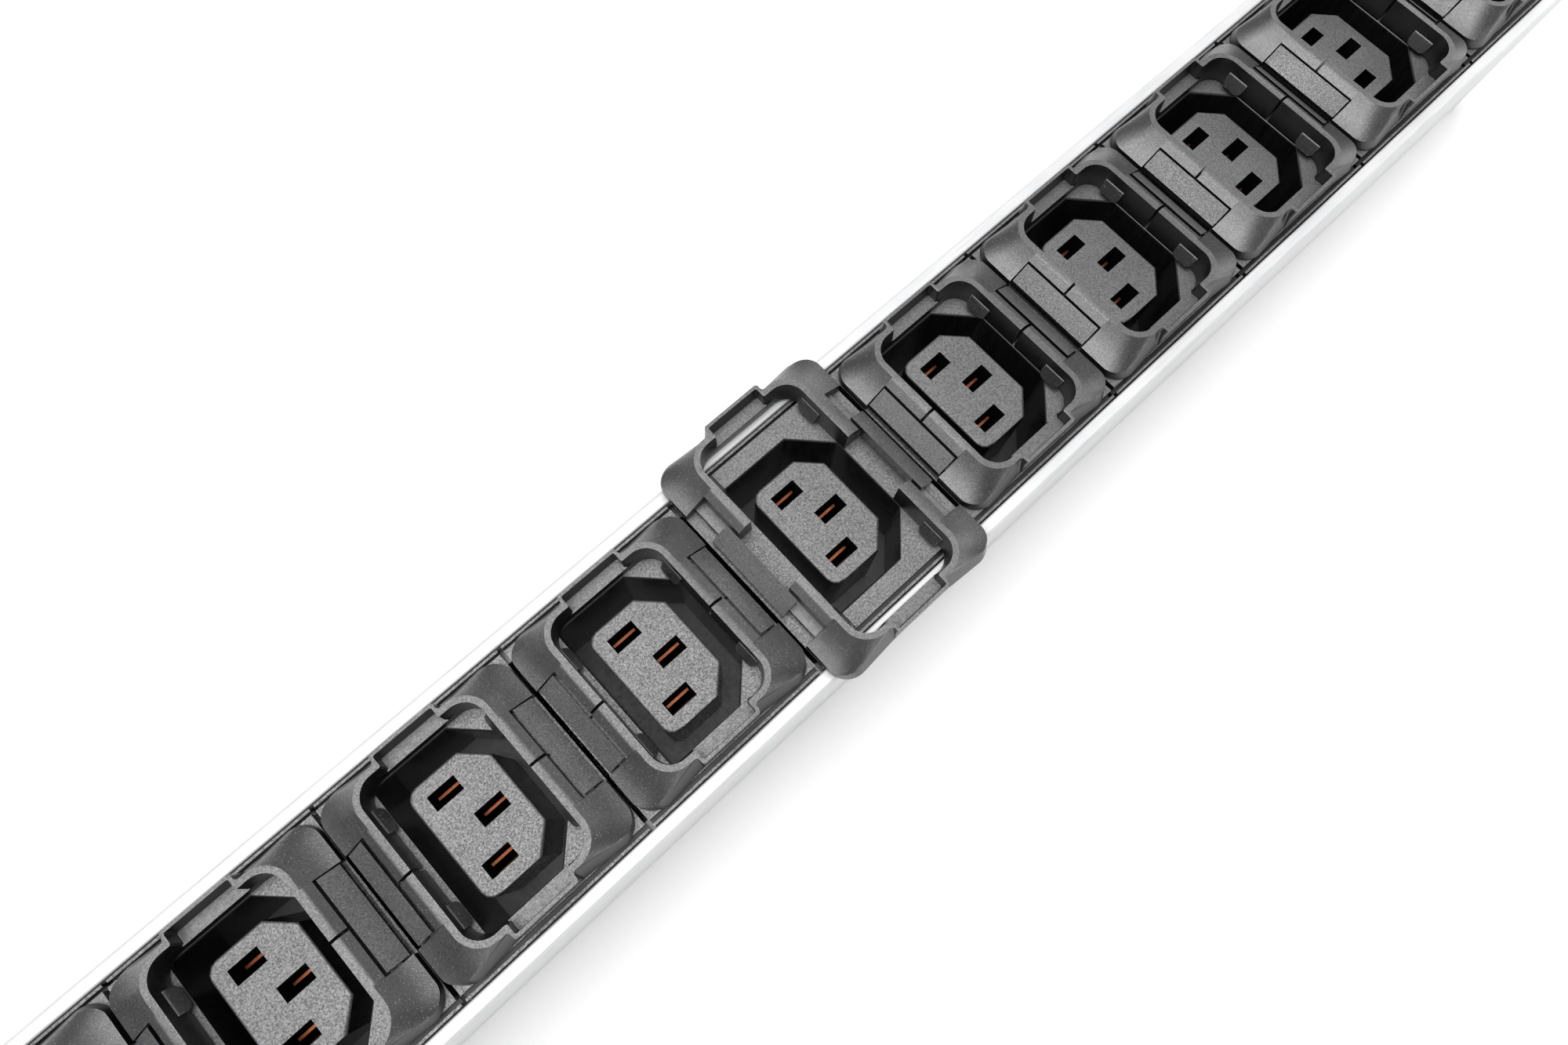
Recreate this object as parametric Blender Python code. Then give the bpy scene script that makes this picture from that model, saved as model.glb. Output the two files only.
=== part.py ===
"""Rack power distribution unit: an aluminium channel with ten locking outlets.

The unit lies on its back. X runs along its length, Y across it, and Z out of the outlet face.
The origin is the middle of the back, under the centre of the whole length.
Every outlet is a moulded module that slides into grooves of the channel. On each module two
collar halves slide apart, across the unit, and close again round the body of a plug.
All sizes are in metres.
"""
import math

import bmesh
import bpy
from mathutils import Matrix, Vector

# Clearance between pieces that fit together.
FIT = 0.0003

# Channel: a drawn aluminium trough, open towards the outlets.
HOUSING_WIDTH = 0.04495
HOUSING_DEPTH = 0.052
HOUSING_WALL = 0.00255
HOUSING_FLOOR = 0.0025
HOUSING_EDGE = 0.0005
SIDE_GROOVE_DROP = 0.025
SIDE_GROOVE_WIDTH = 0.0010
SIDE_GROOVE_DEPTH = 0.0004
BACK_GROOVE_Y = 0.0125
BACK_GROOVE_WIDTH = 0.0024
BACK_GROOVE_DEPTH = 0.0008
RUNNER_DEPTH = 0.0009
RUNNER_HEIGHT = 0.0020
LEDGE_WIDTH = 0.0022
LEDGE_THICKNESS = 0.0016
PORT_BORE = 0.00175
PORT_WALL = 0.0013
PORT_INSET = 0.0019
PORT_LOW_Z = 0.0085
PORT_HIGH_Z = 0.0270
PORT_STEPS = 8

# Row of outlets and the plain stretches at its two ends.
OUTLET_COUNT = 10
OPEN_OUTLET = 4
PITCH = 0.037456
INPUT_LENGTH = 0.044
FAR_LENGTH = 0.010
MODULE_GAP = 0.00085

# Outlet module, measured from the face of its socket core.
FACE_DROP = 0.0004
DECK_HEIGHT = 0.00105
DECK_INSET = 0.001525
GUTTER_DEPTH = 0.0012
RIDGE_HEIGHT = 0.0003
RIDGE_WIDTH = 0.00045
FLANGE_DEPTH = 0.0045
WELL_DEPTH = 0.0185
WELL_FLOOR = 0.0020
WELL_WALL = 0.0018
WELL_BACK_SHORE = 0.00135
WELL_FRONT_SHORE = 0.00035
WELL_SIDE_SHORE = 0.0037
WELL_CHAMFER_X = 0.0066
WELL_CHAMFER_Y = 0.0067
SOCKET_GAP_BACK = 0.0027
SOCKET_GAP_FRONT = 0.0038
SOCKET_GAP_SIDE = 0.0037
CORE_CHAMFER = 0.0040
CORE_CORNER = 0.0022
SLOT_LENGTH = 0.0053
SLOT_WIDTH = 0.0029
POLE_X = -0.0020
POLE_Y = 0.0070
EARTH_X = 0.0020
DRAIN_X = -0.0096
DRAIN_WIDTH = 0.0018
DRAIN_DEPTH = 0.0009
RELIEF_WIDTH = 0.0004
RELIEF_LENGTH = 0.0021
RELIEF_START = 0.0008

# Keeper tabs, one at each end of a module, that hold the collar halves down.
TAB_MARGIN = 0.0004
TAB_WIDTH = 0.00325
TAB_LEG = 0.0014
TAB_END_INSET = 0.0059
TAB_INNER_HEIGHT = 0.0058
TAB_OUTER_HEIGHT = 0.0035

# Collar half, measured like the module, with the seam between the halves at Y = 0.
COLLAR_TRAVEL = 0.0060
SEAM_GAP = 0.0005
RIM_HEIGHT = 0.00685
RIM_INSET = 0.0032
RIM_CORNER = 0.0038
RIM_BAND = 0.0011
ARM_GAP = 0.00055
ARM_WIDTH = 0.00275
ARM_EDGE_HEIGHT = 0.0058
ARM_DRAFT = 0.0003
SIDE_DRAFT = 0.0005
SHELF_HEIGHT = 0.0034
SKIRT_OVERHANG = 0.0003
SKIRT_HEIGHT = 0.0034
SKIRT_CORNER = 0.0042
SKIRT_LEAN = 0.4
COVE_SAG = 0.0004
CORNER_STEPS = 4
TONGUE_HEIGHT = 0.0026
POCKET_SHOULDER = 0.0014
POCKET_REACH = 0.0027
POCKET_BAND = 0.0006
POCKET_ROUND = 0.0007
POCKET_DRAFT = 0.0003
LUG_LENGTH = 0.0046
LUG_REACH = 0.0015
LUG_HEIGHT = 0.0045
LUG_ROUND = 0.0007

# Contact rails under the modules, folded from strip into a narrow U with punched leaves.
LEAF_THICKNESS = 0.0005
LEAF_DROP = 0.0048
RAIL_HEIGHT = 0.0040
RAIL_DROP = 0.0008
RAIL_OVERRUN = 0.0030

# Input end: terminal block, end caps, screws and cable gland.
CAP_THICKNESS = 0.0030
CAP_EDGE = 0.0008
SCREW_HEAD_RADIUS = 0.0032
SCREW_HEAD_HEIGHT = 0.0022
SCREW_LENGTH = 0.0120
SCREW_SIDES = 12
BLOCK_START = 0.0120
BLOCK_LENGTH = 0.0180
BLOCK_SIDE_GAP = 0.0025
BLOCK_ROOF = 0.0030
BLOCK_FOOT = 0.0040
BLOCK_SCREW_RADIUS = 0.0012
BLOCK_SCREW_HEAD = 0.0024
BLOCK_SCREW_HEAD_HEIGHT = 0.0016
GLAND_Z = 0.0240
GLAND_SIDES = 24
GLAND_THREAD_RADIUS = 0.0100
GLAND_BORE_RADIUS = 0.0070
GLAND_HEX_RADIUS = 0.0135
GLAND_FLANGE = 0.0045
GLAND_THREAD_LENGTH = 0.0100
GLAND_NUT_LENGTH = 0.0140
GLAND_NUT_WALL = 0.0018
GLAND_SEAL_BORE = 0.0050
LOCKNUT_THICKNESS = 0.0035

# Derived places that several pieces share.
FACE_Z = HOUSING_DEPTH - FACE_DROP
INNER_HALF_WIDTH = HOUSING_WIDTH / 2 - HOUSING_WALL
HOUSING_LENGTH = INPUT_LENGTH + OUTLET_COUNT * PITCH + FAR_LENGTH
GLAND_REACH = GLAND_FLANGE + FIT + GLAND_NUT_LENGTH
TOTAL_LENGTH = GLAND_REACH + 2 * (CAP_THICKNESS + FIT) + HOUSING_LENGTH + SCREW_HEAD_HEIGHT
HOUSING_X0 = -TOTAL_LENGTH / 2 + GLAND_REACH + CAP_THICKNESS + FIT
HOUSING_X1 = HOUSING_X0 + HOUSING_LENGTH
FIRST_OUTLET_X = HOUSING_X0 + INPUT_LENGTH + PITCH / 2
MODULE_HALF_LENGTH = (PITCH - MODULE_GAP) / 2

# Places across one outlet, stepping in from the channel's wall and from the module's end.
DECK_HALF_WIDTH = INNER_HALF_WIDTH - DECK_INSET
SKIRT_HALF_WIDTH = DECK_HALF_WIDTH + SKIRT_OVERHANG
RIM_INNER_Y = SKIRT_HALF_WIDTH - RIM_INSET
POCKET_WALL_Y = RIM_INNER_Y + POCKET_REACH
WELL_HALF_WIDTH = DECK_HALF_WIDTH - WELL_SIDE_SHORE
CORE_HALF_WIDTH = WELL_HALF_WIDTH - SOCKET_GAP_SIDE
TAB_HALF_LENGTH = WELL_HALF_WIDTH - TAB_END_INSET
TAB_OUTER_X = MODULE_HALF_LENGTH - TAB_MARGIN
TAB_INNER_X = TAB_OUTER_X - TAB_WIDTH
TAB_LEG_X = TAB_OUTER_X - TAB_LEG
TONGUE_OUTER_X = TAB_LEG_X - FIT
ARM_OUTER_X = TAB_INNER_X - ARM_GAP
RIM_INNER_X = ARM_OUTER_X - ARM_WIDTH
POCKET_HALF_LENGTH = RIM_INNER_X - RIM_CORNER - POCKET_SHOULDER
WELL_BACK_X = WELL_BACK_SHORE - RIM_INNER_X
WELL_FRONT_X = RIM_INNER_X - WELL_FRONT_SHORE
CORE_BACK_X = WELL_BACK_X + SOCKET_GAP_BACK
CORE_FRONT_X = WELL_FRONT_X - SOCKET_GAP_FRONT
COLLAR_BOTTOM = DECK_HEIGHT + FIT
NOTCH_Y = TAB_HALF_LENGTH + FIT
WELL_BOTTOM = -WELL_DEPTH - WELL_FLOOR
RAIL_TOP = WELL_BOTTOM - RAIL_DROP
RAIL_BOTTOM = RAIL_TOP - RAIL_HEIGHT
PORT_Y = INNER_HALF_WIDTH - PORT_INSET
BLOCK_HALF_WIDTH = PORT_Y - PORT_BORE - PORT_WALL - BLOCK_SIDE_GAP
CONTACTS = (
    ("contact_rail_line", POLE_X, POLE_Y),
    ("contact_rail_neutral", POLE_X, -POLE_Y),
    ("contact_rail_earth", EARTH_X, 0.0),
)


def clear_scene():
    for item in list(bpy.data.objects):
        bpy.data.objects.remove(item, do_unlink=True)


def finish(name, color, roughness, metallic):
    """One Principled material for one kind of surface."""
    material = bpy.data.materials.new(name)
    material.use_nodes = True
    shader = material.node_tree.nodes["Principled BSDF"]
    shader.inputs["Base Color"].default_value = (*color, 1.0)
    shader.inputs["Roughness"].default_value = roughness
    shader.inputs["Metallic"].default_value = metallic
    return material


def new_object(name, mesh, material=None):
    item = bpy.data.objects.new(name, mesh)
    bpy.context.collection.objects.link(item)
    if material and not mesh.materials:
        mesh.materials.append(material)
    return item


def mesh_from(bm, name):
    """Close off a bmesh: doubles merged, faces turned outwards."""
    bmesh.ops.remove_doubles(bm, verts=bm.verts, dist=1e-6)
    bmesh.ops.dissolve_degenerate(bm, edges=bm.edges, dist=1e-6)
    bmesh.ops.recalc_face_normals(bm, faces=bm.faces)
    mesh = bpy.data.meshes.new(name)
    bm.to_mesh(mesh)
    bm.free()
    return mesh


def prism(name, outline, low, high, axis="Z"):
    """A straight prism: a flat outline carried from low to high along an axis.

    The outline holds (x, y) pairs for Z, (x, z) pairs for Y and (y, z) pairs for X.
    """
    place = {
        "X": lambda u, v, w: (w, u, v),
        "Y": lambda u, v, w: (u, w, v),
        "Z": lambda u, v, w: (u, v, w),
    }[axis]
    bm = bmesh.new()
    start = [bm.verts.new(place(u, v, low)) for u, v in outline]
    end = [bm.verts.new(place(u, v, high)) for u, v in outline]
    bm.faces.new(start)
    bm.faces.new(end)
    for i in range(len(outline)):
        j = (i + 1) % len(outline)
        bm.faces.new((start[i], start[j], end[j], end[i]))
    return mesh_from(bm, name)


def rectangle(u0, u1, v0, v1):
    return [(u0, v0), (u1, v0), (u1, v1), (u0, v1)]


def regular(radius, sides, centre=(0.0, 0.0), turn=0.0):
    """Corner points of a regular polygon whose corners lie on the radius."""
    steps = [turn + 2 * math.pi * i / sides for i in range(sides)]
    return [(centre[0] + radius * math.cos(a), centre[1] + radius * math.sin(a)) for a in steps]


def turned(name, profile, sides, x, y, z, along="X"):
    """A body of revolution from (distance along the axis, radius) pairs.

    A closed profile that stays off the axis makes a ring. The axis runs along X or Z.
    """
    bm = bmesh.new()
    rings = []
    for a in (2 * math.pi * i / sides for i in range(sides)):
        ring = []
        for length, radius in profile:
            side, rise = radius * math.cos(a), radius * math.sin(a)
            if along == "X":
                point = (x + length, y + side, z + rise)
            else:
                point = (x + side, y + rise, z + length)
            ring.append(bm.verts.new(point))
        rings.append(ring)
    count = len(profile)
    for i, ring in enumerate(rings):
        after = rings[(i + 1) % sides]
        for j in range(count):
            k = (j + 1) % count
            bm.faces.new((ring[j], ring[k], after[k], after[j]))
    return mesh_from(bm, name)


def combined(name, first, *steps):
    """One mesh from a first mesh and (operation, mesh) steps, by exact Booleans."""
    body = new_object(name, first)
    tools = []
    for operation, mesh in steps:
        tool = new_object(mesh.name, mesh)
        tools.append(tool)
        modifier = body.modifiers.new(mesh.name, "BOOLEAN")
        modifier.operation = operation
        modifier.solver = "EXACT"
        modifier.object = tool
    depsgraph = bpy.context.evaluated_depsgraph_get()
    result = bpy.data.meshes.new_from_object(body.evaluated_get(depsgraph))
    for item in [body, *tools]:
        bpy.data.objects.remove(item, do_unlink=True)
    bm = bmesh.new()
    bm.from_mesh(result)
    bmesh.ops.dissolve_limit(bm, angle_limit=1e-4, verts=bm.verts, edges=bm.edges)
    bm.to_mesh(result)
    bm.free()
    result.name = name
    return result


def port_outline(z):
    """Screw port on the inner side wall: a C-shaped bead round an open bore, top to bottom."""
    outer = PORT_BORE + PORT_WALL
    mouth = math.radians(40)
    points = [(INNER_HALF_WIDTH, z + outer), (PORT_Y - PORT_BORE / 2, z + outer)]
    tip = (PORT_Y - outer * math.cos(mouth), z + outer * math.sin(mouth))
    points.append(tip)
    for i in range(PORT_STEPS + 1):
        a = math.pi - mouth - (2 * math.pi - 2 * mouth) * i / PORT_STEPS
        points.append((PORT_Y + PORT_BORE * math.cos(a), z + PORT_BORE * math.sin(a)))
    points.append((tip[0], 2 * z - tip[1]))
    points.append((PORT_Y - PORT_BORE / 2, z - outer))
    points.append((INNER_HALF_WIDTH, z - outer))
    return points


def housing_outline():
    """Section of the channel: its +Y half from the back, up the outside and down the inside."""
    side = HOUSING_WIDTH / 2
    groove_z = HOUSING_DEPTH - SIDE_GROOVE_DROP
    half_groove = SIDE_GROOVE_WIDTH / 2
    back_low = BACK_GROOVE_Y - BACK_GROOVE_WIDTH / 2
    back_high = BACK_GROOVE_Y + BACK_GROOVE_WIDTH / 2
    runner_low = FACE_Z - FLANGE_DEPTH - FIT
    runner_high = runner_low + RUNNER_HEIGHT + 2 * FIT
    inner = INNER_HALF_WIDTH
    half = [
        (back_low, 0.0),
        (back_low, BACK_GROOVE_DEPTH),
        (back_high, BACK_GROOVE_DEPTH),
        (back_high, 0.0),
        (side - HOUSING_EDGE, 0.0),
        (side, HOUSING_EDGE),
        (side, groove_z - half_groove),
        (side - SIDE_GROOVE_DEPTH, groove_z),
        (side, groove_z + half_groove),
        (side, HOUSING_DEPTH - HOUSING_EDGE),
        (side - HOUSING_EDGE, HOUSING_DEPTH),
        (inner + HOUSING_EDGE / 2, HOUSING_DEPTH),
        (inner, HOUSING_DEPTH - HOUSING_EDGE / 2),
        (inner, runner_high),
        (inner + RUNNER_DEPTH, runner_high),
        (inner + RUNNER_DEPTH, runner_low),
        (inner - LEDGE_WIDTH, runner_low),
        (inner - LEDGE_WIDTH, runner_low - LEDGE_THICKNESS),
        (inner, runner_low - LEDGE_THICKNESS),
    ]
    half += port_outline(PORT_HIGH_Z)
    half += port_outline(PORT_LOW_Z)
    half.append((inner, HOUSING_FLOOR))
    return half + [(-y, z) for y, z in reversed(half)]


def build_housing(material):
    mesh = prism("housing_extrusion", housing_outline(), HOUSING_X0, HOUSING_X1, "X")
    new_object("housing_extrusion", mesh, material)


def deck_outline():
    """Section across a module's top plate, with its gutters, ridges and runner feet."""
    gutter = DECK_HALF_WIDTH
    ridge_outer = INNER_HALF_WIDTH - FIT
    ridge_inner = ridge_outer - RIDGE_WIDTH
    foot = INNER_HALF_WIDTH + RUNNER_DEPTH - FIT
    foot_top = -FLANGE_DEPTH + RUNNER_HEIGHT
    half = [
        (gutter, DECK_HEIGHT),
        (gutter, -GUTTER_DEPTH),
        (ridge_inner, -GUTTER_DEPTH),
        (ridge_inner, RIDGE_HEIGHT),
        (ridge_outer, RIDGE_HEIGHT),
        (ridge_outer, foot_top),
        (foot, foot_top),
        (foot, -FLANGE_DEPTH),
    ]
    return half + [(-y, z) for y, z in reversed(half)]


def well_outline(grow=0.0):
    """Plan of the socket well: square at the back, with two chamfered corners in front."""
    back = WELL_BACK_X - grow
    front = WELL_FRONT_X + grow
    side = WELL_HALF_WIDTH + grow
    half = [
        (back, -side),
        (front - WELL_CHAMFER_X, -side),
        (front, -side + WELL_CHAMFER_Y),
    ]
    return half + [(x, -y) for x, y in reversed(half)]


def core_outline():
    """Plan of the socket core: two chamfered corners in front and two round ones behind."""
    chamfer = CORE_CHAMFER
    centre = (CORE_BACK_X + CORE_CORNER, -CORE_HALF_WIDTH + CORE_CORNER)
    angles = [math.pi + math.pi / 2 * i / 3 for i in range(4)]
    round_corner = [
        (centre[0] + CORE_CORNER * math.cos(a), centre[1] + CORE_CORNER * math.sin(a)) for a in angles
    ]
    half = round_corner + [
        (CORE_FRONT_X - chamfer, -CORE_HALF_WIDTH),
        (CORE_FRONT_X, -CORE_HALF_WIDTH + chamfer),
    ]
    return half + [(x, -y) for x, y in reversed(half)]


def tab_outline(side):
    """Section of a keeper tab: a sloped roof on one leg, open towards the outlet."""
    roof_z = TONGUE_HEIGHT + FIT
    root_z = DECK_HEIGHT - DRAIN_DEPTH
    outline = [
        (TAB_INNER_X, roof_z),
        (TAB_INNER_X, TAB_INNER_HEIGHT),
        (TAB_OUTER_X, TAB_OUTER_HEIGHT),
        (TAB_OUTER_X, root_z),
        (TAB_LEG_X, root_z),
        (TAB_LEG_X, roof_z),
    ]
    return [(side * x, z) for x, z in outline]


def module_mesh():
    """One outlet module: top plate, well, socket core with three slots, and keeper tabs."""
    half = MODULE_HALF_LENGTH
    over = DECK_HEIGHT + FIT
    plate = prism("plate", deck_outline(), -half, half, "X")
    tub = prism("tub", well_outline(WELL_WALL), WELL_BOTTOM, -FLANGE_DEPTH / 2)
    well = prism("well", well_outline(), -WELL_DEPTH, over)
    core = prism("core", core_outline(), -WELL_DEPTH - WELL_FLOOR / 2, 0.0)
    steps = [("UNION", tub), ("DIFFERENCE", well), ("UNION", core)]
    for name, x, y in CONTACTS:
        outline = rectangle(
            x - SLOT_LENGTH / 2, x + SLOT_LENGTH / 2, y - SLOT_WIDTH / 2, y + SLOT_WIDTH / 2
        )
        steps.append(("DIFFERENCE", prism(name + "_slot", outline, WELL_BOTTOM - FIT, FIT)))
    for side in (-1, 1):
        tab = prism("tab", tab_outline(side), -TAB_HALF_LENGTH, TAB_HALF_LENGTH, "Y")
        steps.append(("UNION", tab))
        low, high = sorted((side * (WELL_HALF_WIDTH - FIT), side * (DECK_HALF_WIDTH + FIT)))
        outline = rectangle(DRAIN_X - DRAIN_WIDTH, DRAIN_X, low, high)
        drain = prism("drain", outline, DECK_HEIGHT - DRAIN_DEPTH, over)
        steps.append(("DIFFERENCE", drain))
    relief_start = NOTCH_Y + RELIEF_START
    relief_end = relief_start + RELIEF_LENGTH
    for x in (-TONGUE_OUTER_X, TONGUE_OUTER_X - RELIEF_WIDTH):
        for low, high in ((relief_start, relief_end), (-relief_end, -relief_start)):
            outline = rectangle(x, x + RELIEF_WIDTH, low, high)
            relief = prism("relief", outline, DECK_HEIGHT - DRAIN_DEPTH, over)
            steps.append(("DIFFERENCE", relief))
    return combined("outlet_module", plate, *steps)


def collar_section(rim, band, facet, skirt, shelf_edge, shelf_back, foot):
    """Nine points of a collar section, from the inner foot over the rim to the skirt.

    The facet's top edge is a point in space. The others are places in plan, whose heights
    are those of the collar. The last point is doubled, because an arm has one corner more.
    """
    points = [
        (*foot, COLLAR_BOTTOM),
        (*shelf_edge, SHELF_HEIGHT),
        (*shelf_back, SHELF_HEIGHT),
        (*rim, RIM_HEIGHT),
        (*band, RIM_HEIGHT),
    ]
    cove = [(start + end) / 2 for start, end in zip((*band, RIM_HEIGHT), facet)]
    points.append((cove[0], cove[1], cove[2] - COVE_SAG))
    points.append(facet)
    points += [(*skirt, COLLAR_BOTTOM)] * 2
    return points


def arm_section(y):
    """Section of an arm beside the keeper tab, with the tongue that runs under it."""
    foot_x = RIM_INNER_X - ARM_DRAFT
    share = (SHELF_HEIGHT - COLLAR_BOTTOM) / (RIM_HEIGHT - COLLAR_BOTTOM)
    shelf = (foot_x + ARM_DRAFT * share, y, SHELF_HEIGHT)
    return [
        (foot_x, y, COLLAR_BOTTOM),
        shelf,
        shelf,
        (RIM_INNER_X, y, RIM_HEIGHT),
        (RIM_INNER_X + RIM_BAND, y, RIM_HEIGHT),
        (ARM_OUTER_X, y, ARM_EDGE_HEIGHT),
        (ARM_OUTER_X, y, TONGUE_HEIGHT),
        (TONGUE_OUTER_X, y, TONGUE_HEIGHT),
        (TONGUE_OUTER_X, y, COLLAR_BOTTOM),
    ]


def wall_section(centre, angle, rim_radius, skirt):
    """Section where the inner wall is plain: it leans in from the rim to the foot.

    Outside, a facet leans back from the skirt's foot, on the long side only.
    """
    out = Vector((math.cos(angle), math.sin(angle)))
    draft = ARM_DRAFT * out.x ** 2 + SIDE_DRAFT * out.y ** 2
    share = (SHELF_HEIGHT - COLLAR_BOTTOM) / (RIM_HEIGHT - COLLAR_BOTTOM)
    middle = Vector(centre)
    rim = middle + out * rim_radius
    band = middle + out * (rim_radius + RIM_BAND)
    foot = rim - out * draft
    shelf = rim - out * draft * (1 - share)
    lean = out * SKIRT_LEAN * out.y ** 2 * (SKIRT_HEIGHT - COLLAR_BOTTOM)
    facet = (skirt[0] - lean.x, skirt[1] - lean.y, SKIRT_HEIGHT)
    return collar_section(rim, band, facet, skirt, shelf, shelf, foot)


def jog_sections():
    """Sections where the rim steps out round the finger pocket, with its two bends rounded."""
    side_band_y = RIM_INNER_Y + RIM_BAND
    wall_rim_y = POCKET_WALL_Y - POCKET_BAND
    pocket_x = POCKET_HALF_LENGTH - POCKET_BAND
    facet_z = COLLAR_BOTTOM + (POCKET_WALL_Y - side_band_y) / SKIRT_LEAN
    foot_y = RIM_INNER_Y - SIDE_DRAFT
    places = [
        (pocket_x + POCKET_ROUND, RIM_INNER_Y, POCKET_HALF_LENGTH + POCKET_ROUND, side_band_y),
        (pocket_x, RIM_INNER_Y + POCKET_ROUND, POCKET_HALF_LENGTH, side_band_y + POCKET_ROUND),
        (pocket_x, wall_rim_y - POCKET_ROUND, POCKET_HALF_LENGTH, POCKET_WALL_Y - POCKET_ROUND),
        (pocket_x - POCKET_ROUND, wall_rim_y, POCKET_HALF_LENGTH - POCKET_ROUND, POCKET_WALL_Y),
    ]
    sections = []
    for rim_x, rim_y, band_x, band_y in places:
        foot = (rim_x, foot_y)
        shelf_y = max(foot_y, rim_y - POCKET_DRAFT)
        sections.append(collar_section(
            rim=(rim_x, rim_y),
            band=(band_x, band_y),
            facet=(band_x, band_y, facet_z),
            skirt=(band_x, POCKET_WALL_Y),
            shelf_edge=foot,
            shelf_back=(rim_x, shelf_y),
            foot=foot,
        ))
    return sections


def collar_sections():
    """Sections of the +X side of a collar half, from the end of its arm to the pocket."""
    seam = SEAM_GAP / 2
    skirt_x = MODULE_HALF_LENGTH
    rim_centre = (RIM_INNER_X - RIM_CORNER, RIM_INNER_Y - RIM_CORNER)
    skirt_centre = (skirt_x - SKIRT_CORNER, SKIRT_HALF_WIDTH - SKIRT_CORNER)
    sections = [arm_section(seam), arm_section(NOTCH_Y)]
    notch_centre = (rim_centre[0], NOTCH_Y)
    sections.append(wall_section(notch_centre, 0.0, RIM_CORNER, (skirt_x, NOTCH_Y)))
    for i in range(CORNER_STEPS + 1):
        angle = math.pi / 2 * i / CORNER_STEPS
        skirt = (
            skirt_centre[0] + SKIRT_CORNER * math.cos(angle),
            skirt_centre[1] + SKIRT_CORNER * math.sin(angle),
        )
        sections.append(wall_section(rim_centre, angle, RIM_CORNER, skirt))
    sections += jog_sections()
    return sections


def lug_outline(side):
    """Plan of a gripping lug on the inside of an arm, with rounded inner corners."""
    root = RIM_INNER_X + RIM_BAND / 2
    tip = RIM_INNER_X - LUG_REACH
    high = RIM_INNER_Y - RIM_CORNER
    low = high - LUG_LENGTH
    outline = [
        (root, low),
        (root, high),
        (tip + LUG_ROUND, high),
        (tip, high - LUG_ROUND),
        (tip, low + LUG_ROUND),
        (tip + LUG_ROUND, low),
    ]
    return [(side * x, y) for x, y in outline]


def collar_half_mesh():
    """The +Y half of a locking collar: a lofted U with a cove, a finger pocket and tongues."""
    right = collar_sections()
    left = [[(-x, y, z) for x, y, z in section] for section in reversed(right)]
    bm = bmesh.new()
    loops = [[bm.verts.new(point) for point in section] for section in right + left]
    count = len(loops[0])
    for before, after in zip(loops, loops[1:]):
        for i in range(count):
            j = (i + 1) % count
            bm.faces.new((before[i], before[j], after[j], after[i]))
    bm.faces.new(loops[0])
    bm.faces.new(loops[-1])
    bmesh.ops.remove_doubles(bm, verts=bm.verts, dist=1e-6)
    bmesh.ops.triangulate(bm, faces=[face for face in bm.faces if len(face.verts) == 4])
    loft = mesh_from(bm, "collar_loft")
    steps = []
    for side in (-1, 1):
        lug = prism("lug", lug_outline(side), COLLAR_BOTTOM + FIT, LUG_HEIGHT)
        steps.append(("UNION", lug))
    return combined("collar_half", loft, *steps)


def build_outlets(module_finish, collar_finish):
    module = module_mesh()
    collar = collar_half_mesh()
    for number in range(OUTLET_COUNT):
        x = FIRST_OUTLET_X + number * PITCH
        label = str(number + 1).zfill(2)
        base = new_object("outlet_module_" + label, module, module_finish)
        base.location = (x, 0.0, FACE_Z)
        travel = COLLAR_TRAVEL if number == OPEN_OUTLET else 0.0
        for word, turn, side in (("upper", 0.0, 1), ("lower", math.pi, -1)):
            half = new_object("collar_" + word + "_" + label, collar, collar_finish)
            half.location = (x, side * travel, FACE_Z)
            half.rotation_euler = (0.0, 0.0, turn)


def build_blanks(material):
    """Plain plates that close the channel beside the first and last outlets."""
    gap = MODULE_GAP / 2
    row_start = FIRST_OUTLET_X - PITCH / 2
    row_end = row_start + OUTLET_COUNT * PITCH
    outline = [(y, z + FACE_Z) for y, z in deck_outline()]
    input_cover = prism("input_cover", outline, HOUSING_X0 + FIT, row_start - gap, "X")
    new_object("input_cover", input_cover, material)
    far_cover = prism("far_cover", outline, row_end + gap, HOUSING_X1 - FIT, "X")
    new_object("far_cover", far_cover, material)


def leaf_comb(name, outlet_x, y0, y1, x_start, x_end):
    """One side of a contact rail: a strip on edge with a leaf at every outlet."""
    half_leaf = SLOT_LENGTH / 2 - FIT
    top = FACE_Z + RAIL_TOP
    outline = [(x_start, FACE_Z + RAIL_BOTTOM), (x_end, FACE_Z + RAIL_BOTTOM), (x_end, top)]
    for x in reversed(outlet_x):
        outline += [
            (x + half_leaf, top),
            (x + half_leaf, FACE_Z - LEAF_DROP),
            (x - half_leaf, FACE_Z - LEAF_DROP),
            (x - half_leaf, top),
        ]
    outline.append((x_start, top))
    return prism(name, outline, y0, y1, "Y")


def build_rails(material):
    block_x = HOUSING_X0 + BLOCK_START
    outer = SLOT_WIDTH / 2 - FIT
    inner = outer - LEAF_THICKNESS
    for name, x, y in CONTACTS:
        places = [FIRST_OUTLET_X + number * PITCH + x for number in range(OUTLET_COUNT)]
        x_start = block_x + FIT
        x_end = places[-1] + SLOT_LENGTH / 2 + RAIL_OVERRUN
        near = leaf_comb("near_leaves", places, y - outer, y - inner, x_start, x_end)
        far = leaf_comb("far_leaves", places, y + inner, y + outer, x_start, x_end)
        low = FACE_Z + RAIL_BOTTOM
        web_outline = rectangle(y - outer, y + outer, low, low + LEAF_THICKNESS)
        web = prism("web", web_outline, x_start, x_end, "X")
        mesh = combined(name, near, ("UNION", web), ("UNION", far))
        new_object(name, mesh, material)


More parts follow.
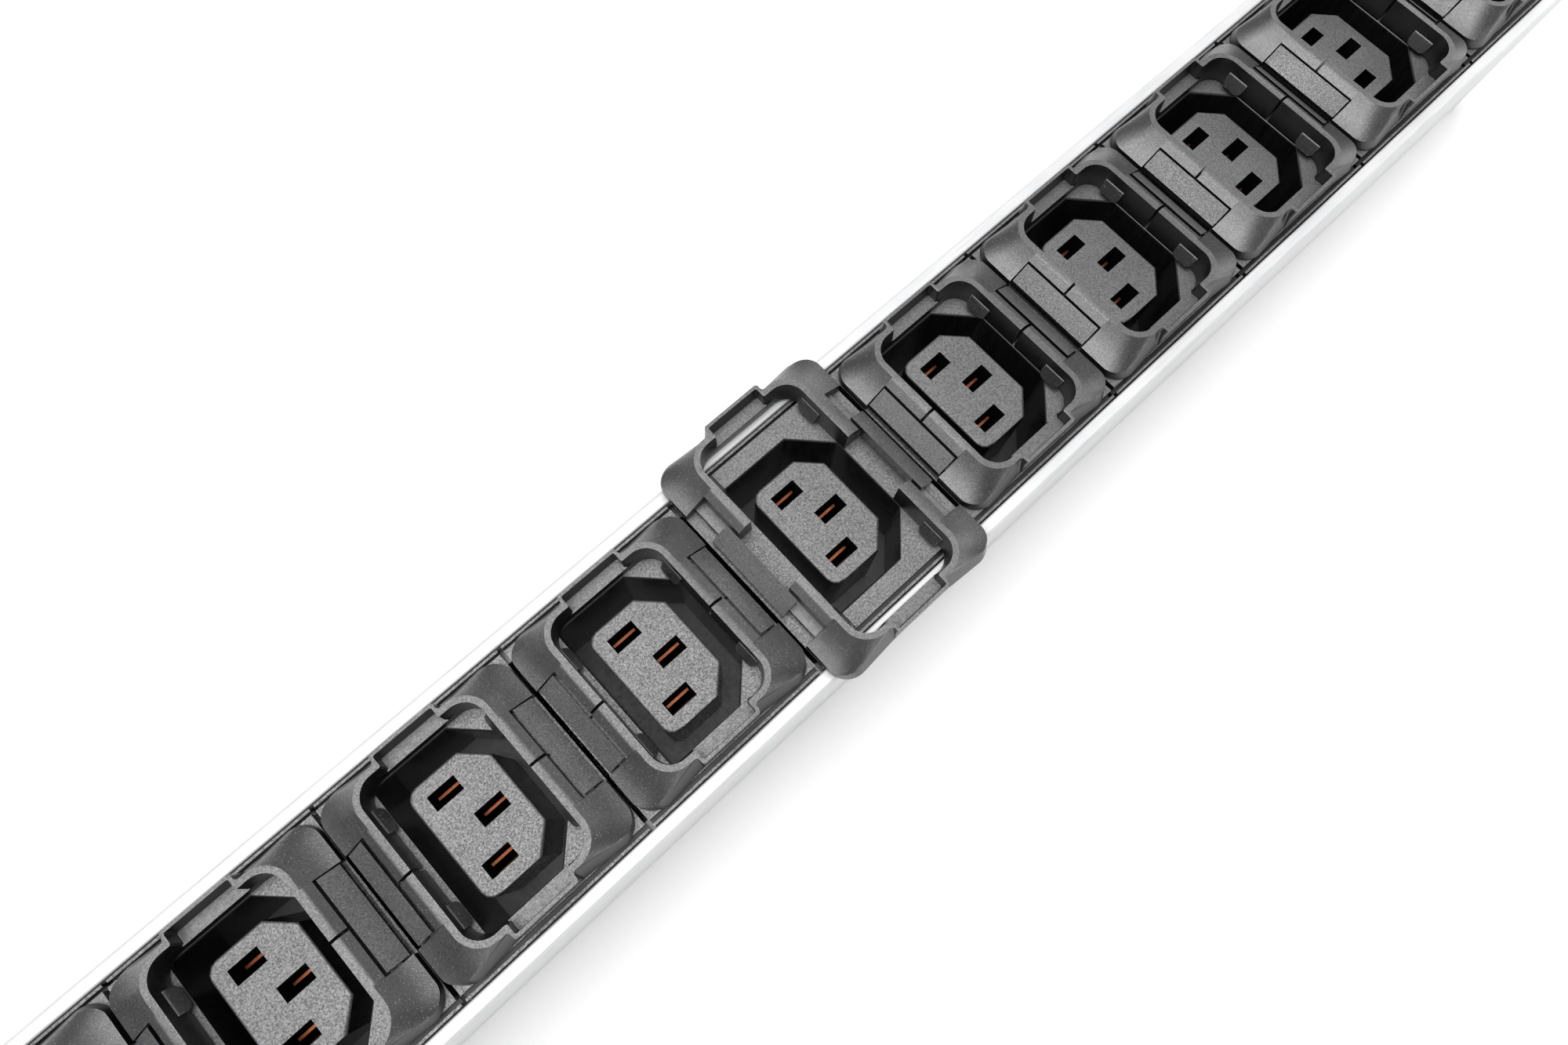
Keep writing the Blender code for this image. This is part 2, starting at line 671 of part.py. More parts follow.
def build_terminal_block(plastic, steel):
    """Stand on the channel's floor that clamps the three contact rails at the input end."""
    x0 = HOUSING_X0 + BLOCK_START
    x1 = x0 + BLOCK_LENGTH
    low = HOUSING_FLOOR + FIT
    roof = FACE_Z + RAIL_TOP + FIT + BLOCK_ROOF
    side = BLOCK_HALF_WIDTH
    body = prism("block", rectangle(-side, side, low, roof), x0, x1, "X")
    bay_top = FACE_Z + RAIL_BOTTOM - BLOCK_ROOF
    bay_side = side - BLOCK_FOOT
    bay = prism("bay", rectangle(-bay_side, bay_side, low - FIT, bay_top), x0 - FIT, x1 + FIT, "X")
    steps = [("DIFFERENCE", bay)]
    screw_x = (x0 + x1) / 2
    half_way = SLOT_WIDTH / 2
    for name, _, y in CONTACTS:
        way_low = FACE_Z + RAIL_BOTTOM - FIT
        way_high = FACE_Z + RAIL_TOP + FIT
        outline = rectangle(y - half_way, y + half_way, way_low, way_high)
        steps.append(("DIFFERENCE", prism(name + "_way", outline, x0 - FIT, x1 + FIT, "X")))
        hole = regular(BLOCK_SCREW_RADIUS + FIT, SCREW_SIDES, (screw_x, y))
        steps.append(("DIFFERENCE", prism(name + "_hole", hole, way_high - FIT, roof + FIT)))
    mesh = combined("terminal_block", body, *steps)
    new_object("terminal_block", mesh, plastic)
    shank = BLOCK_ROOF
    profile = [
        (-shank, 0.0),
        (-shank, BLOCK_SCREW_RADIUS),
        (FIT, BLOCK_SCREW_RADIUS),
        (FIT, BLOCK_SCREW_HEAD),
        (BLOCK_SCREW_HEAD_HEIGHT, BLOCK_SCREW_HEAD),
        (BLOCK_SCREW_HEAD_HEIGHT, 0.0),
    ]
    for name, _, y in CONTACTS:
        label = name.replace("contact_rail", "terminal_screw")
        mesh = turned(label, profile, SCREW_SIDES, screw_x, y, roof, "Z")
        new_object(label, mesh, steel)


def cap_outline(inset=0.0):
    """Outline of the channel's end, with its corners chamfered."""
    side = HOUSING_WIDTH / 2 - inset
    low = inset
    high = HOUSING_DEPTH - inset
    cut = HOUSING_EDGE
    half = [(side - cut, low), (side, low + cut), (side, high - cut), (side - cut, high)]
    return half + [(-y, z) for y, z in reversed(half)]


def screw_places():
    return [(side * PORT_Y, z) for side in (-1, 1) for z in (PORT_LOW_Z, PORT_HIGH_Z)]


def build_cap(name, inner_x, outward, gland_hole, plastic):
    """End cap: a moulded plate with a softened outer edge and four screw holes."""
    outer_x = inner_x + outward * CAP_THICKNESS
    step_x = outer_x - outward * CAP_EDGE
    bm = bmesh.new()
    loops = []
    for x, inset in ((inner_x, 0.0), (step_x, 0.0), (outer_x, CAP_EDGE)):
        loops.append([bm.verts.new((x, y, z)) for y, z in cap_outline(inset)])
    count = len(loops[0])
    for before, after in zip(loops, loops[1:]):
        for i in range(count):
            j = (i + 1) % count
            bm.faces.new((before[i], before[j], after[j], after[i]))
    bm.faces.new(loops[0])
    bm.faces.new(loops[-1])
    plate = mesh_from(bm, name + "_plate")
    low, high = sorted((inner_x - outward * FIT, outer_x + outward * FIT))
    steps = []
    for place in screw_places():
        hole = regular(PORT_BORE, SCREW_SIDES, place)
        steps.append(("DIFFERENCE", prism("screw_hole", hole, low, high, "X")))
    if gland_hole:
        hole = regular(GLAND_THREAD_RADIUS + FIT, GLAND_SIDES, (0.0, GLAND_Z))
        steps.append(("DIFFERENCE", prism("gland_hole", hole, low, high, "X")))
    new_object(name, combined(name, plate, *steps), plastic)


def build_cap_screws(prefix, face_x, outward, steel):
    """Four pan-head screws through a cap into the ports of the channel."""
    radius = PORT_BORE - FIT
    profile = [
        (-SCREW_LENGTH, 0.0),
        (-SCREW_LENGTH, radius),
        (FIT / 2, radius),
        (FIT / 2, SCREW_HEAD_RADIUS),
        (SCREW_HEAD_HEIGHT / 2, SCREW_HEAD_RADIUS),
        (SCREW_HEAD_HEIGHT, SCREW_HEAD_RADIUS * 0.6),
        (SCREW_HEAD_HEIGHT, 0.0),
    ]
    profile = [(outward * length, r) for length, r in profile]
    for number, (y, z) in enumerate(screw_places(), start=1):
        name = prefix + "_screw_" + str(number)
        mesh = turned(name, profile, SCREW_SIDES, face_x, y, z)
        new_object(name, mesh, steel)


def build_gland(face_x, inner_x, plastic, rubber):
    """Cable gland on the input cap: hexagon body, locknut, seal and dome nut."""
    hexagon = regular(GLAND_HEX_RADIUS, 6, (0.0, GLAND_Z), math.pi / 6)
    bore = regular(GLAND_BORE_RADIUS, GLAND_SIDES, (0.0, GLAND_Z))
    thread = regular(GLAND_THREAD_RADIUS, GLAND_SIDES, (0.0, GLAND_Z))
    flange_x = face_x - GLAND_FLANGE
    thread_end = inner_x + LOCKNUT_THICKNESS + 2 * FIT
    neck_end = flange_x - GLAND_THREAD_LENGTH
    body = combined(
        "gland_body",
        prism("flange", hexagon, flange_x, face_x - FIT, "X"),
        ("UNION", prism("thread", thread, neck_end, thread_end, "X")),
        ("DIFFERENCE", prism("bore", bore, neck_end - FIT, thread_end + FIT, "X")),
    )
    new_object("gland_body", body, plastic)

    locknut_hole = regular(GLAND_THREAD_RADIUS + FIT, GLAND_SIDES, (0.0, GLAND_Z))
    locknut_x = inner_x + FIT
    locknut = combined(
        "gland_locknut",
        prism("nut", hexagon, locknut_x, locknut_x + LOCKNUT_THICKNESS, "X"),
        ("DIFFERENCE", prism("hole", locknut_hole, inner_x, thread_end + FIT, "X")),
    )
    new_object("gland_locknut", locknut, plastic)

    nut_inner = flange_x - FIT
    nut_outer = nut_inner - GLAND_NUT_LENGTH
    roof_x = neck_end - FIT
    mouth = GLAND_BORE_RADIUS
    dome = GLAND_THREAD_RADIUS + GLAND_NUT_WALL
    profile = [
        (nut_inner, GLAND_THREAD_RADIUS + FIT),
        (nut_inner, dome),
        ((nut_inner + nut_outer) / 2, dome),
        (nut_outer + GLAND_NUT_WALL, dome - GLAND_NUT_WALL / 2),
        (nut_outer, mouth + GLAND_NUT_WALL),
        (nut_outer, mouth),
        (roof_x, mouth),
        (roof_x, GLAND_THREAD_RADIUS + FIT),
    ]
    nut = turned("gland_nut", profile, GLAND_SIDES, 0.0, 0.0, GLAND_Z)
    new_object("gland_nut", nut, plastic)

    seal_outer = GLAND_BORE_RADIUS - FIT
    seal_profile = [
        (neck_end, GLAND_SEAL_BORE),
        (neck_end, seal_outer),
        (flange_x, seal_outer),
        (flange_x, GLAND_SEAL_BORE),
    ]
    seal = turned("gland_seal", seal_profile, GLAND_SIDES, 0.0, 0.0, GLAND_Z)
    new_object("gland_seal", seal, rubber)


def build():
    clear_scene()
    aluminium = finish("anodised_aluminium", (0.82, 0.82, 0.83), 0.35, 1.0)
    black = finish("black_nylon", (0.035, 0.035, 0.038), 0.5, 0.0)
    collar_black = finish("collar_nylon", (0.045, 0.045, 0.048), 0.45, 0.0)
    copper = finish("copper_strip", (0.62, 0.30, 0.17), 0.35, 1.0)
    steel = finish("zinc_steel", (0.55, 0.55, 0.56), 0.35, 1.0)
    rubber = finish("seal_rubber", (0.02, 0.02, 0.02), 0.8, 0.0)
    build_housing(aluminium)
    build_outlets(black, collar_black)
    build_blanks(black)
    build_rails(copper)
    build_terminal_block(black, steel)
    input_face = HOUSING_X0 - FIT
    far_face = HOUSING_X1 + FIT
    build_cap("input_cap", input_face, -1, True, black)
    build_cap("far_cap", far_face, 1, False, black)
    build_cap_screws("input_cap", input_face - CAP_THICKNESS, -1, steel)
    build_cap_screws("far_cap", far_face + CAP_THICKNESS, 1, steel)
    build_gland(input_face - CAP_THICKNESS, input_face, black, rubber)


build()
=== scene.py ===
# %% [markdown]
# # A rack power strip with ten locking outlets
#
# This lesson dresses a finished mechanical model of a rack power distribution unit. The real
# thing is a drawn aluminium channel with ten moulded outlets in a row. Round each socket sit two
# halves of a locking collar, which slide apart and close again behind the shoulders of a plug.
#
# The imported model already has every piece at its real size. It is loaded once and never moved:
# the lesson adds finishes, softer edges and the small forms that a mould or a press leaves.

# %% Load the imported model
import math

import bmesh
import bpy
from mathutils import Matrix, Vector


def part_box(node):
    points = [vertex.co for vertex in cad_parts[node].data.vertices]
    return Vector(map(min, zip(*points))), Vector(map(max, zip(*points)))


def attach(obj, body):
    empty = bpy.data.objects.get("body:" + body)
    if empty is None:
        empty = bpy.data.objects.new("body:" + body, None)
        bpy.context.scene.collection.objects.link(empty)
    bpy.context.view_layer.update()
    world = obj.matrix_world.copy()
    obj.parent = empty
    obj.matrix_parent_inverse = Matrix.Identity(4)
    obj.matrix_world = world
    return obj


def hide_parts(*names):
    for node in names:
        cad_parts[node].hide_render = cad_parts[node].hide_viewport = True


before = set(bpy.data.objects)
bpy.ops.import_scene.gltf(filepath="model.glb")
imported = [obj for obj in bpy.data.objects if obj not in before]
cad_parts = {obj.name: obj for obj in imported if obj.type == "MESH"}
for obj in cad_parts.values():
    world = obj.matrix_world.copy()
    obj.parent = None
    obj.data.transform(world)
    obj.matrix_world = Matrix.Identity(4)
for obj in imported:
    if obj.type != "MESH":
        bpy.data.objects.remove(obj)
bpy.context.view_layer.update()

bpy.ops.object.select_all(action="DESELECT")

# %% [markdown]
# ## Measures
#
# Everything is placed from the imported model, so a change there is followed here. One number turns
# millimetres, in which a moulder thinks, into the metres of the scene. The outlet face is the
# plane of the socket cores, a little below the rim of the channel.

# %% Places read from the model
MM = 0.001
FACE_DROP = 0.4 * MM

LABELS = [str(number).zfill(2) for number in range(1, 11)]
FACE_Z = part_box("housing_extrusion")[1].z - FACE_DROP


def middle_x(node_name):
    low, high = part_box(node_name)
    return (low.x + high.x) / 2


outlet_x = {label: middle_x("outlet_module_" + label) for label in LABELS}
print("first outlet at", round(outlet_x["01"] / MM, 2), "mm, face at", round(FACE_Z / MM, 2), "mm")

# %% [markdown]
# ## Camera
#
# The photograph looks down on the row from about 170 mm, turned so that the channel runs from the
# lower left corner to the upper right one. A camera could be aimed with a Track To constraint, but
# two directions are clearer: where it looks, and which way is up in the picture. The focal length
# goes with a sensor 36 mm wide. A new object shows only once it is linked to the scene, so one
# helper does both.

# %% Camera at the photograph's viewing angle
CAMERA_PLACE = Vector((-37.95, -28.00, 221.22)) * MM
LOOKS_ALONG = Vector((0.2189, 0.1791, -0.9592)).normalized()
PICTURE_UP = Vector((0.6446, 0.7114, 0.2799))
FOCAL_LENGTH = 23.156
SENSOR_WIDTH = 36


def add_object(name, data):
    item = bpy.data.objects.new(name, data)
    bpy.context.scene.collection.objects.link(item)
    return item


sideways = LOOKS_ALONG.cross(PICTURE_UP).normalized()
upright = sideways.cross(LOOKS_ALONG)
camera_data = bpy.data.cameras.new("photo_camera")
camera_data.lens = FOCAL_LENGTH
camera_data.sensor_width = SENSOR_WIDTH
camera_data.clip_start = 1 * MM
camera = add_object("photo_camera", camera_data)
camera.matrix_world = Matrix((sideways, upright, -LOOKS_ALONG)).transposed().to_4x4()
camera.matrix_world.translation = CAMERA_PLACE
bpy.context.scene.camera = camera
bpy.context.scene.view_settings.view_transform = "Standard"
print("camera", [round(value / MM) for value in CAMERA_PLACE], "mm")

# %% [markdown]
# ## Small tools for modelling
#
# Blender's operators work on whatever is selected. These helpers keep that simple: one selects a
# single object, one adds a modifier and applies it, and one goes into edit mode and selects the
# edges or faces that pass a test, mostly by their place.

# %% Helpers for operators


def select_only(item):
    bpy.ops.object.select_all(action="DESELECT")
    item.select_set(True)
    bpy.context.view_layer.objects.active = item


def apply_modifier(item, kind, **settings):
    select_only(item)
    modifier = item.modifiers.new(kind.lower(), kind)
    for name, value in settings.items():
        setattr(modifier, name, value)
    bpy.ops.object.modifier_apply(modifier=modifier.name)


def pick(item, kind, test):
    """Enter edit mode, select each EDGE or FACE for which the test is true, and count them."""
    select_only(item)
    bpy.ops.object.mode_set(mode="EDIT")
    bpy.ops.mesh.select_mode(type=kind)
    bpy.ops.mesh.select_all(action="DESELECT")
    bm = bmesh.from_edit_mesh(item.data)
    chosen = [element for element in (bm.edges if kind == "EDGE" else bm.faces) if test(element)]
    for element in chosen:
        element.select_set(True)
    bm.select_flush_mode()
    bmesh.update_edit_mesh(item.data)
    return len(chosen)


def leave_edit():
    bpy.ops.object.mode_set(mode="OBJECT")


def round_edges(item, width, segments, test):
    """Bevel the edges that a test picks, and say how many there were."""
    count = pick(item, "EDGE", test)
    bpy.ops.mesh.bevel(offset=width, segments=segments, affect="EDGES", clamp_overlap=True)
    leave_edit()
    return count


def edge_angle(edge):
    return edge.calc_face_angle(0.0)


def triangles(item):
    return sum(len(face.vertices) - 2 for face in item.data.polygons)


def shade(item, degrees=35):
    """Smooth shading that keeps corners sharp and large faces flat."""
    select_only(item)
    bpy.ops.object.shade_smooth_by_angle(angle=math.radians(degrees))
    apply_modifier(item, "WEIGHTED_NORMAL", keep_sharp=True)


# %% [markdown]
# ## Colours and shader nodes
#
# Colours are written as they look on a screen, as sRGB hex values. A shader wants light in a
# linear measure, so one function turns the one into the other. A second function adds any shader
# node with its settings and its links. A third starts a finish: it gives the material, its tree,
# its shader and a place on the object, from which every pattern is worked out.

# %% Helpers for finishes


def linear(hex_colour):
    channels = [int(hex_colour[i:i + 2], 16) / 255 for i in (1, 3, 5)]
    light = [c / 12.92 if c <= 0.04045 else ((c + 0.055) / 1.055) ** 2.4 for c in channels]
    return (*light, 1.0)


def add_node(tree, kind, values=None, links=None, stops=()):
    """Add one shader node. Values set its options or sockets, links feed its sockets.

    Stops are the two (position, hex colour) pairs of a colour ramp.
    """
    item = tree.nodes.new(kind)
    for name, value in (values or {}).items():
        if isinstance(name, int) or name in item.inputs:
            item.inputs[name].default_value = value
        else:
            setattr(item, name, value)
    for name, source in (links or {}).items():
        tree.links.new(source, item.inputs[name])
    for number, (position, colour) in enumerate(stops):
        item.color_ramp.elements[number].position = position
        item.color_ramp.elements[number].color = linear(colour)
    return item


def new_finish(name):
    material = bpy.data.materials.new(name)
    material.use_nodes = True
    tree = material.node_tree
    shader = tree.nodes["Principled BSDF"]
    place = add_node(tree, "ShaderNodeTexCoord").outputs["Object"]
    return material, tree, shader, place


# %% [markdown]
# ## Textured nylon
#
# The outlets and collars are moulded in black nylon. The mould's faces are spark eroded, which
# leaves a fine, even grain of pits on every face that looks up at you. Each pit's edge catches the
# light, so the black plastic looks grey and sparkling from above. The grain is about 0.3 mm.
#
# Three patterns make it. A noise gives the pits: a bump, a change of colour and a change of gloss.
# A slow noise gives the faint cloudiness of a large moulded face. Small cells give painted glints:
# light dots in the colour that stand for the sparkle of the grain. The sockets have the coarsest
# grain, the collars the finest, and the collars' rims are painted paler, as a painted highlight.

# %% Textured nylon for outlets and collars
PIT_DEPTH = 0.05 * MM
CLOUD_SIZE = 12 * MM
CLOUD_SHARE = 0.15
# The light dots made below are painted glints, which stand for the sparkle of the grain.
GLINT_SPACING = 0.5 * MM
PAINTED_GLINT_COLOUR = "#d8d8d8"


def textured_nylon(name, dark, light, grain, roughness, bump, ior, glint_share):
    """Grain is a size in metres, roughness the (least, most); bump and glint_share, the share of
    painted glints, are shares.
    """
    material, tree, shader, place = new_finish(name)
    pits = add_node(tree, "ShaderNodeTexNoise",
                    {"Scale": 1 / grain, "Detail": 3.0, "Roughness": 1.0}, {"Vector": place})
    clouds = add_node(tree, "ShaderNodeTexNoise",
                      {"Scale": 1 / CLOUD_SIZE, "Detail": 2.0}, {"Vector": place})
    mixed = add_node(tree, "ShaderNodeMath", {"operation": "MULTIPLY_ADD", 1: CLOUD_SHARE},
                     {0: clouds.outputs["Fac"], 2: pits.outputs["Fac"]})
    ramp = add_node(tree, "ShaderNodeValToRGB", None, {"Fac": mixed.outputs["Value"]},
                    [(0.46, dark), (0.72, light)])
    # Painted glints: near-white cells mixed into the colour.
    glint_cells = add_node(tree, "ShaderNodeTexVoronoi", {"Scale": 1 / GLINT_SPACING}, {"Vector": place})
    speck = add_node(tree, "ShaderNodeMapRange", {"From Min": 0.18, "From Max": 0.08},
                     {"Value": glint_cells.outputs["Distance"]})
    bright = add_node(tree, "ShaderNodeSeparateColor", None, {"Color": glint_cells.outputs["Color"]})
    chosen = add_node(tree, "ShaderNodeMath", {"operation": "MULTIPLY"},
                      {0: bright.outputs["Red"], 1: speck.outputs["Result"]})
    faint = add_node(tree, "ShaderNodeMath", {"operation": "MULTIPLY", 1: glint_share},
                     {0: chosen.outputs["Value"]})
    glinted = add_node(tree, "ShaderNodeMix", {"data_type": "RGBA"},
                      {"Factor": faint.outputs["Value"]})
    glinted.inputs["B"].default_value = linear(PAINTED_GLINT_COLOUR)
    tree.links.new(ramp.outputs["Color"], glinted.inputs["A"])
    tree.links.new(glinted.outputs["Result"], shader.inputs["Base Color"])
    height = add_node(tree, "ShaderNodeBump", {"Strength": bump, "Distance": PIT_DEPTH},
                      {"Height": pits.outputs["Fac"]})
    tree.links.new(height.outputs["Normal"], shader.inputs["Normal"])
    gloss = add_node(tree, "ShaderNodeMapRange",
                     {"From Min": 0.38, "From Max": 0.62,
                      "To Min": roughness[1], "To Max": roughness[0]},
                     {"Value": pits.outputs["Fac"]})
    tree.links.new(gloss.outputs["Result"], shader.inputs["Roughness"])
    shader.inputs["IOR"].default_value = ior
    shader.inputs["Specular IOR Level"].default_value = 1.0
    return material


coarse_grain = textured_nylon("coarse_textured_nylon", "#040404", "#68686a", 0.34 * MM,
                              (0.32, 0.70), 1.0, 1.66, 0.0)
# The rim's paler colours are a painted highlight on the level band and shelf.
rim_highlight_grain = textured_nylon("rim_nylon_painted_highlight", "#0c0c0d", "#646465", 0.28 * MM,
                           (0.34, 0.60), 0.6, 1.56, 0.0)
middle_grain = textured_nylon("middle_textured_nylon", "#040405", "#666668", 0.29 * MM,
                              (0.20, 0.65), 1.0, 1.58, 0.6)
fine_grain = textured_nylon("fine_textured_nylon", "#040405", "#4a4a4c", 0.28 * MM,
                            (0.15, 0.42), 0.9, 1.53, 0.6)
print("grains", coarse_grain.name, rim_highlight_grain.name, middle_grain.name, fine_grain.name)

# %% [markdown]
# ## Polished nylon
#
# Walls that the core pins of the mould have shaped are polished, so that the part lets go. The
# socket wells are therefore glossy black, with faint drag lines along the way out of the mould:
# the pattern is stretched along Z for them. The upright walls of the collars are satin. The bottom
# of a well is duller, because dust settles there. The insides of the slots are painted nearly
# black as painted shade, since hardly any light comes back from a slot.

# %% Polished nylon for wells, walls and slots
DRAG_LINES = 0.9 * MM
DRAG_DEPTH = 0.02 * MM


def smooth_nylon(name, colour, worn, roughness, streaks, specular):
    """Streaks below 1 stretch the pattern along Z; specular is the strength of the gloss."""
    material, tree, shader, place = new_finish(name)
    stretched = add_node(tree, "ShaderNodeMapping", {"Scale": (1.0, 1.0, streaks)},
                         {"Vector": place})
    noise = add_node(tree, "ShaderNodeTexNoise", {"Scale": 1 / DRAG_LINES, "Detail": 3.0},
                     {"Vector": stretched.outputs["Vector"]})
    ramp = add_node(tree, "ShaderNodeValToRGB", None, {"Fac": noise.outputs["Fac"]},
                    [(0.35, colour), (0.75, worn)])
    tree.links.new(ramp.outputs["Color"], shader.inputs["Base Color"])
    gloss = add_node(tree, "ShaderNodeMapRange",
                     {"To Min": roughness - 0.06, "To Max": roughness + 0.1},
                     {"Value": noise.outputs["Fac"]})
    tree.links.new(gloss.outputs["Result"], shader.inputs["Roughness"])
    height = add_node(tree, "ShaderNodeBump", {"Strength": 0.12, "Distance": DRAG_DEPTH},
                      {"Height": noise.outputs["Fac"]})
    tree.links.new(height.outputs["Normal"], shader.inputs["Normal"])
    shader.inputs["IOR"].default_value = 1.53
    shader.inputs["Specular IOR Level"].default_value = specular
    return material


well_gloss = smooth_nylon("polished_nylon_well", "#121213", "#202021", 0.18, 0.15, 0.8)
collar_satin = smooth_nylon("satin_nylon_walls", "#0d0d0e", "#1a1a1b", 0.34, 1.0, 0.8)
well_floor = smooth_nylon("dull_nylon_floor", "#0f0f10", "#222223", 0.42, 1.0, 0.4)
# The near black of the slots is painted shade.
slot_painted_shade = smooth_nylon("slot_nylon_painted_shade", "#030303", "#070707", 0.80, 1.0, 0.1)
print("smooth", well_gloss.name, collar_satin.name, well_floor.name, slot_painted_shade.name)

# %% [markdown]
# ## Drawn and anodised aluminium
#
# The channel is drawn through a die, which leaves very fine lines along its length, and then
# clear anodised. The oxide is slightly milky, so the metal is paler and softer than bare
# aluminium: only part of it acts as a mirror. The lines are squeezed to a fiftieth along X, which
# makes them long, and a wide haze keeps a long face from looking printed.

# %% Anodised aluminium
LINE_WIDTH = 0.15 * MM
LINE_STRETCH = 50
LINE_DEPTH = 0.01 * MM
HAZE_SIZE = 9 * MM
HAZE_SHARE = 0.5


def anodised_aluminium():
    material, tree, shader, place = new_finish("anodised_aluminium")
    drawn = add_node(tree, "ShaderNodeMapping", {"Scale": (1 / LINE_STRETCH, 1.0, 1.0)},
                     {"Vector": place})
    lines = add_node(tree, "ShaderNodeTexNoise", {"Scale": 1 / LINE_WIDTH, "Detail": 3.0},
                     {"Vector": drawn.outputs["Vector"]})
    haze = add_node(tree, "ShaderNodeTexNoise", {"Scale": 1 / HAZE_SIZE, "Detail": 3.0},
                    {"Vector": place})
    mixed = add_node(tree, "ShaderNodeMath", {"operation": "MULTIPLY_ADD", 1: HAZE_SHARE},
                     {0: haze.outputs["Fac"], 2: lines.outputs["Fac"]})
    ramp = add_node(tree, "ShaderNodeValToRGB", None, {"Fac": mixed.outputs["Value"]},
                    [(0.45, "#cdcecf"), (0.95, "#e2e2e3")])
    tree.links.new(ramp.outputs["Color"], shader.inputs["Base Color"])
    gloss = add_node(tree, "ShaderNodeMapRange", {"To Min": 0.40, "To Max": 0.56},
                     {"Value": lines.outputs["Fac"]})
    tree.links.new(gloss.outputs["Result"], shader.inputs["Roughness"])
    height = add_node(tree, "ShaderNodeBump", {"Strength": 0.1, "Distance": LINE_DEPTH},
                      {"Height": lines.outputs["Fac"]})
    tree.links.new(height.outputs["Normal"], shader.inputs["Normal"])
    shader.inputs["Metallic"].default_value = 0.18
    return material


aluminium = anodised_aluminium()
print("channel", aluminium.name)

# %% [markdown]
# ## Copper, zinc and rubber
#
# The contact rails are rolled copper alloy: warm, satin, with darker tarnish in soft patches. The
# screws are steel with a thin bright zinc plating, a little cloudy. The gland's seal is black
# rubber, matt and dusty.

# %% Copper alloy, zinc plated steel and rubber
FINE_WEAR = 0.25 * MM
WEAR_DEPTH = 0.03 * MM


def patchy(name, colours, patch, roughness, metallic, bump):
    """A finish whose colour wanders softly between two tones, patch metres apart."""
    material, tree, shader, place = new_finish(name)
    noise = add_node(tree, "ShaderNodeTexNoise", {"Scale": 1 / patch, "Detail": 4.0},
                     {"Vector": place})
    ramp = add_node(tree, "ShaderNodeValToRGB", None, {"Fac": noise.outputs["Fac"]},
                    [(0.35, colours[0]), (0.7, colours[1])])
    tree.links.new(ramp.outputs["Color"], shader.inputs["Base Color"])
    gloss = add_node(tree, "ShaderNodeMapRange",
                     {"To Min": roughness[0], "To Max": roughness[1]},
                     {"Value": noise.outputs["Fac"]})
    tree.links.new(gloss.outputs["Result"], shader.inputs["Roughness"])
    fine = add_node(tree, "ShaderNodeTexNoise", {"Scale": 1 / FINE_WEAR, "Detail": 2.0},
                    {"Vector": place})
    height = add_node(tree, "ShaderNodeBump", {"Strength": bump, "Distance": WEAR_DEPTH},
                      {"Height": fine.outputs["Fac"]})
    tree.links.new(height.outputs["Normal"], shader.inputs["Normal"])
    shader.inputs["Metallic"].default_value = metallic
    return material


copper = patchy("rolled_copper_alloy", ("#7d4630", "#9a5f42"), 2 * MM, (0.35, 0.55), 1.0, 0.1)
zinc = patchy("zinc_plated_steel", ("#a9acb0", "#d0d2d6"), 1.5 * MM, (0.22, 0.42), 1.0, 0.1)
rubber = patchy("seal_rubber", ("#131313", "#262626"), 2 * MM, (0.65, 0.85), 0.0, 0.5)
print("metals and rubber", copper.name, zinc.name, rubber.name)

# %% [markdown]
# ### Painted shade on the contact leaves
#
# Deep in a slot only the top of a leaf shines; below it the copper is painted almost black, as
# painted shade. Two leaves stand in each slot, and the photograph shows a bright edge on one of
# them, so the other is painted dark all over, as shade. The slots are 7 mm apart across the row, so
# wrapping Y into that step tells the two leaves apart.

# %% Painted shade on the leaves
LEAF_EDGE = FACE_Z - 4.8 * MM
UNSHADED_DEPTH = 1.6 * MM
SLOT_STEP = 7 * MM


def tarnish_below(material, edge):
    """Paint shade on a finish below a height, and all over on one side of each slot step."""
    tree = material.node_tree
    shader = tree.nodes["Principled BSDF"]
    place = add_node(tree, "ShaderNodeTexCoord").outputs["Object"]
    axes = add_node(tree, "ShaderNodeSeparateXYZ", None, {"Vector": place})
    depth = add_node(tree, "ShaderNodeMapRange",
                     {"From Min": edge - UNSHADED_DEPTH, "From Max": edge - 0.7 * UNSHADED_DEPTH},
                     {"Value": axes.outputs["Z"]})
    across = add_node(tree, "ShaderNodeMath",
                      {"operation": "WRAP", 1: SLOT_STEP / 2, 2: -SLOT_STEP / 2},
                      {0: axes.outputs["Y"]})
    far_leaf = add_node(tree, "ShaderNodeMath", {"operation": "GREATER_THAN", 1: 0.0},
                        {0: across.outputs["Value"]})
    lit = add_node(tree, "ShaderNodeMath", {"operation": "MULTIPLY"},
                   {0: depth.outputs["Result"], 1: far_leaf.outputs["Value"]})
    bare = shader.inputs["Base Color"].links[0].from_socket
    mixed = add_node(tree, "ShaderNodeMix", {"data_type": "RGBA"}, {"Factor": lit.outputs["Value"]})
    # This dark colour is painted shade on the copper.
    mixed.inputs["A"].default_value = linear("#1a120e")
    tree.links.new(bare, mixed.inputs["B"])
    tree.links.new(mixed.outputs["Result"], shader.inputs["Base Color"])


tarnish_below(copper, LEAF_EDGE)
print("bare copper down to", round((LEAF_EDGE - UNSHADED_DEPTH) / MM, 1), "mm")

# %% [markdown]
# ## Moulded nylon for the ends
#
# The end caps, the plain covers and the cable gland are moulded in the same black nylon, with a
# lighter grain than the outlets have.

# %% Moulded nylon for caps and gland
plain_nylon = textured_nylon("moulded_nylon_ends", "#19191a", "#3d3d3e", 0.25 * MM,
                             (0.35, 0.55), 0.35, 1.50, 0.1)
print("ends", plain_nylon.name)

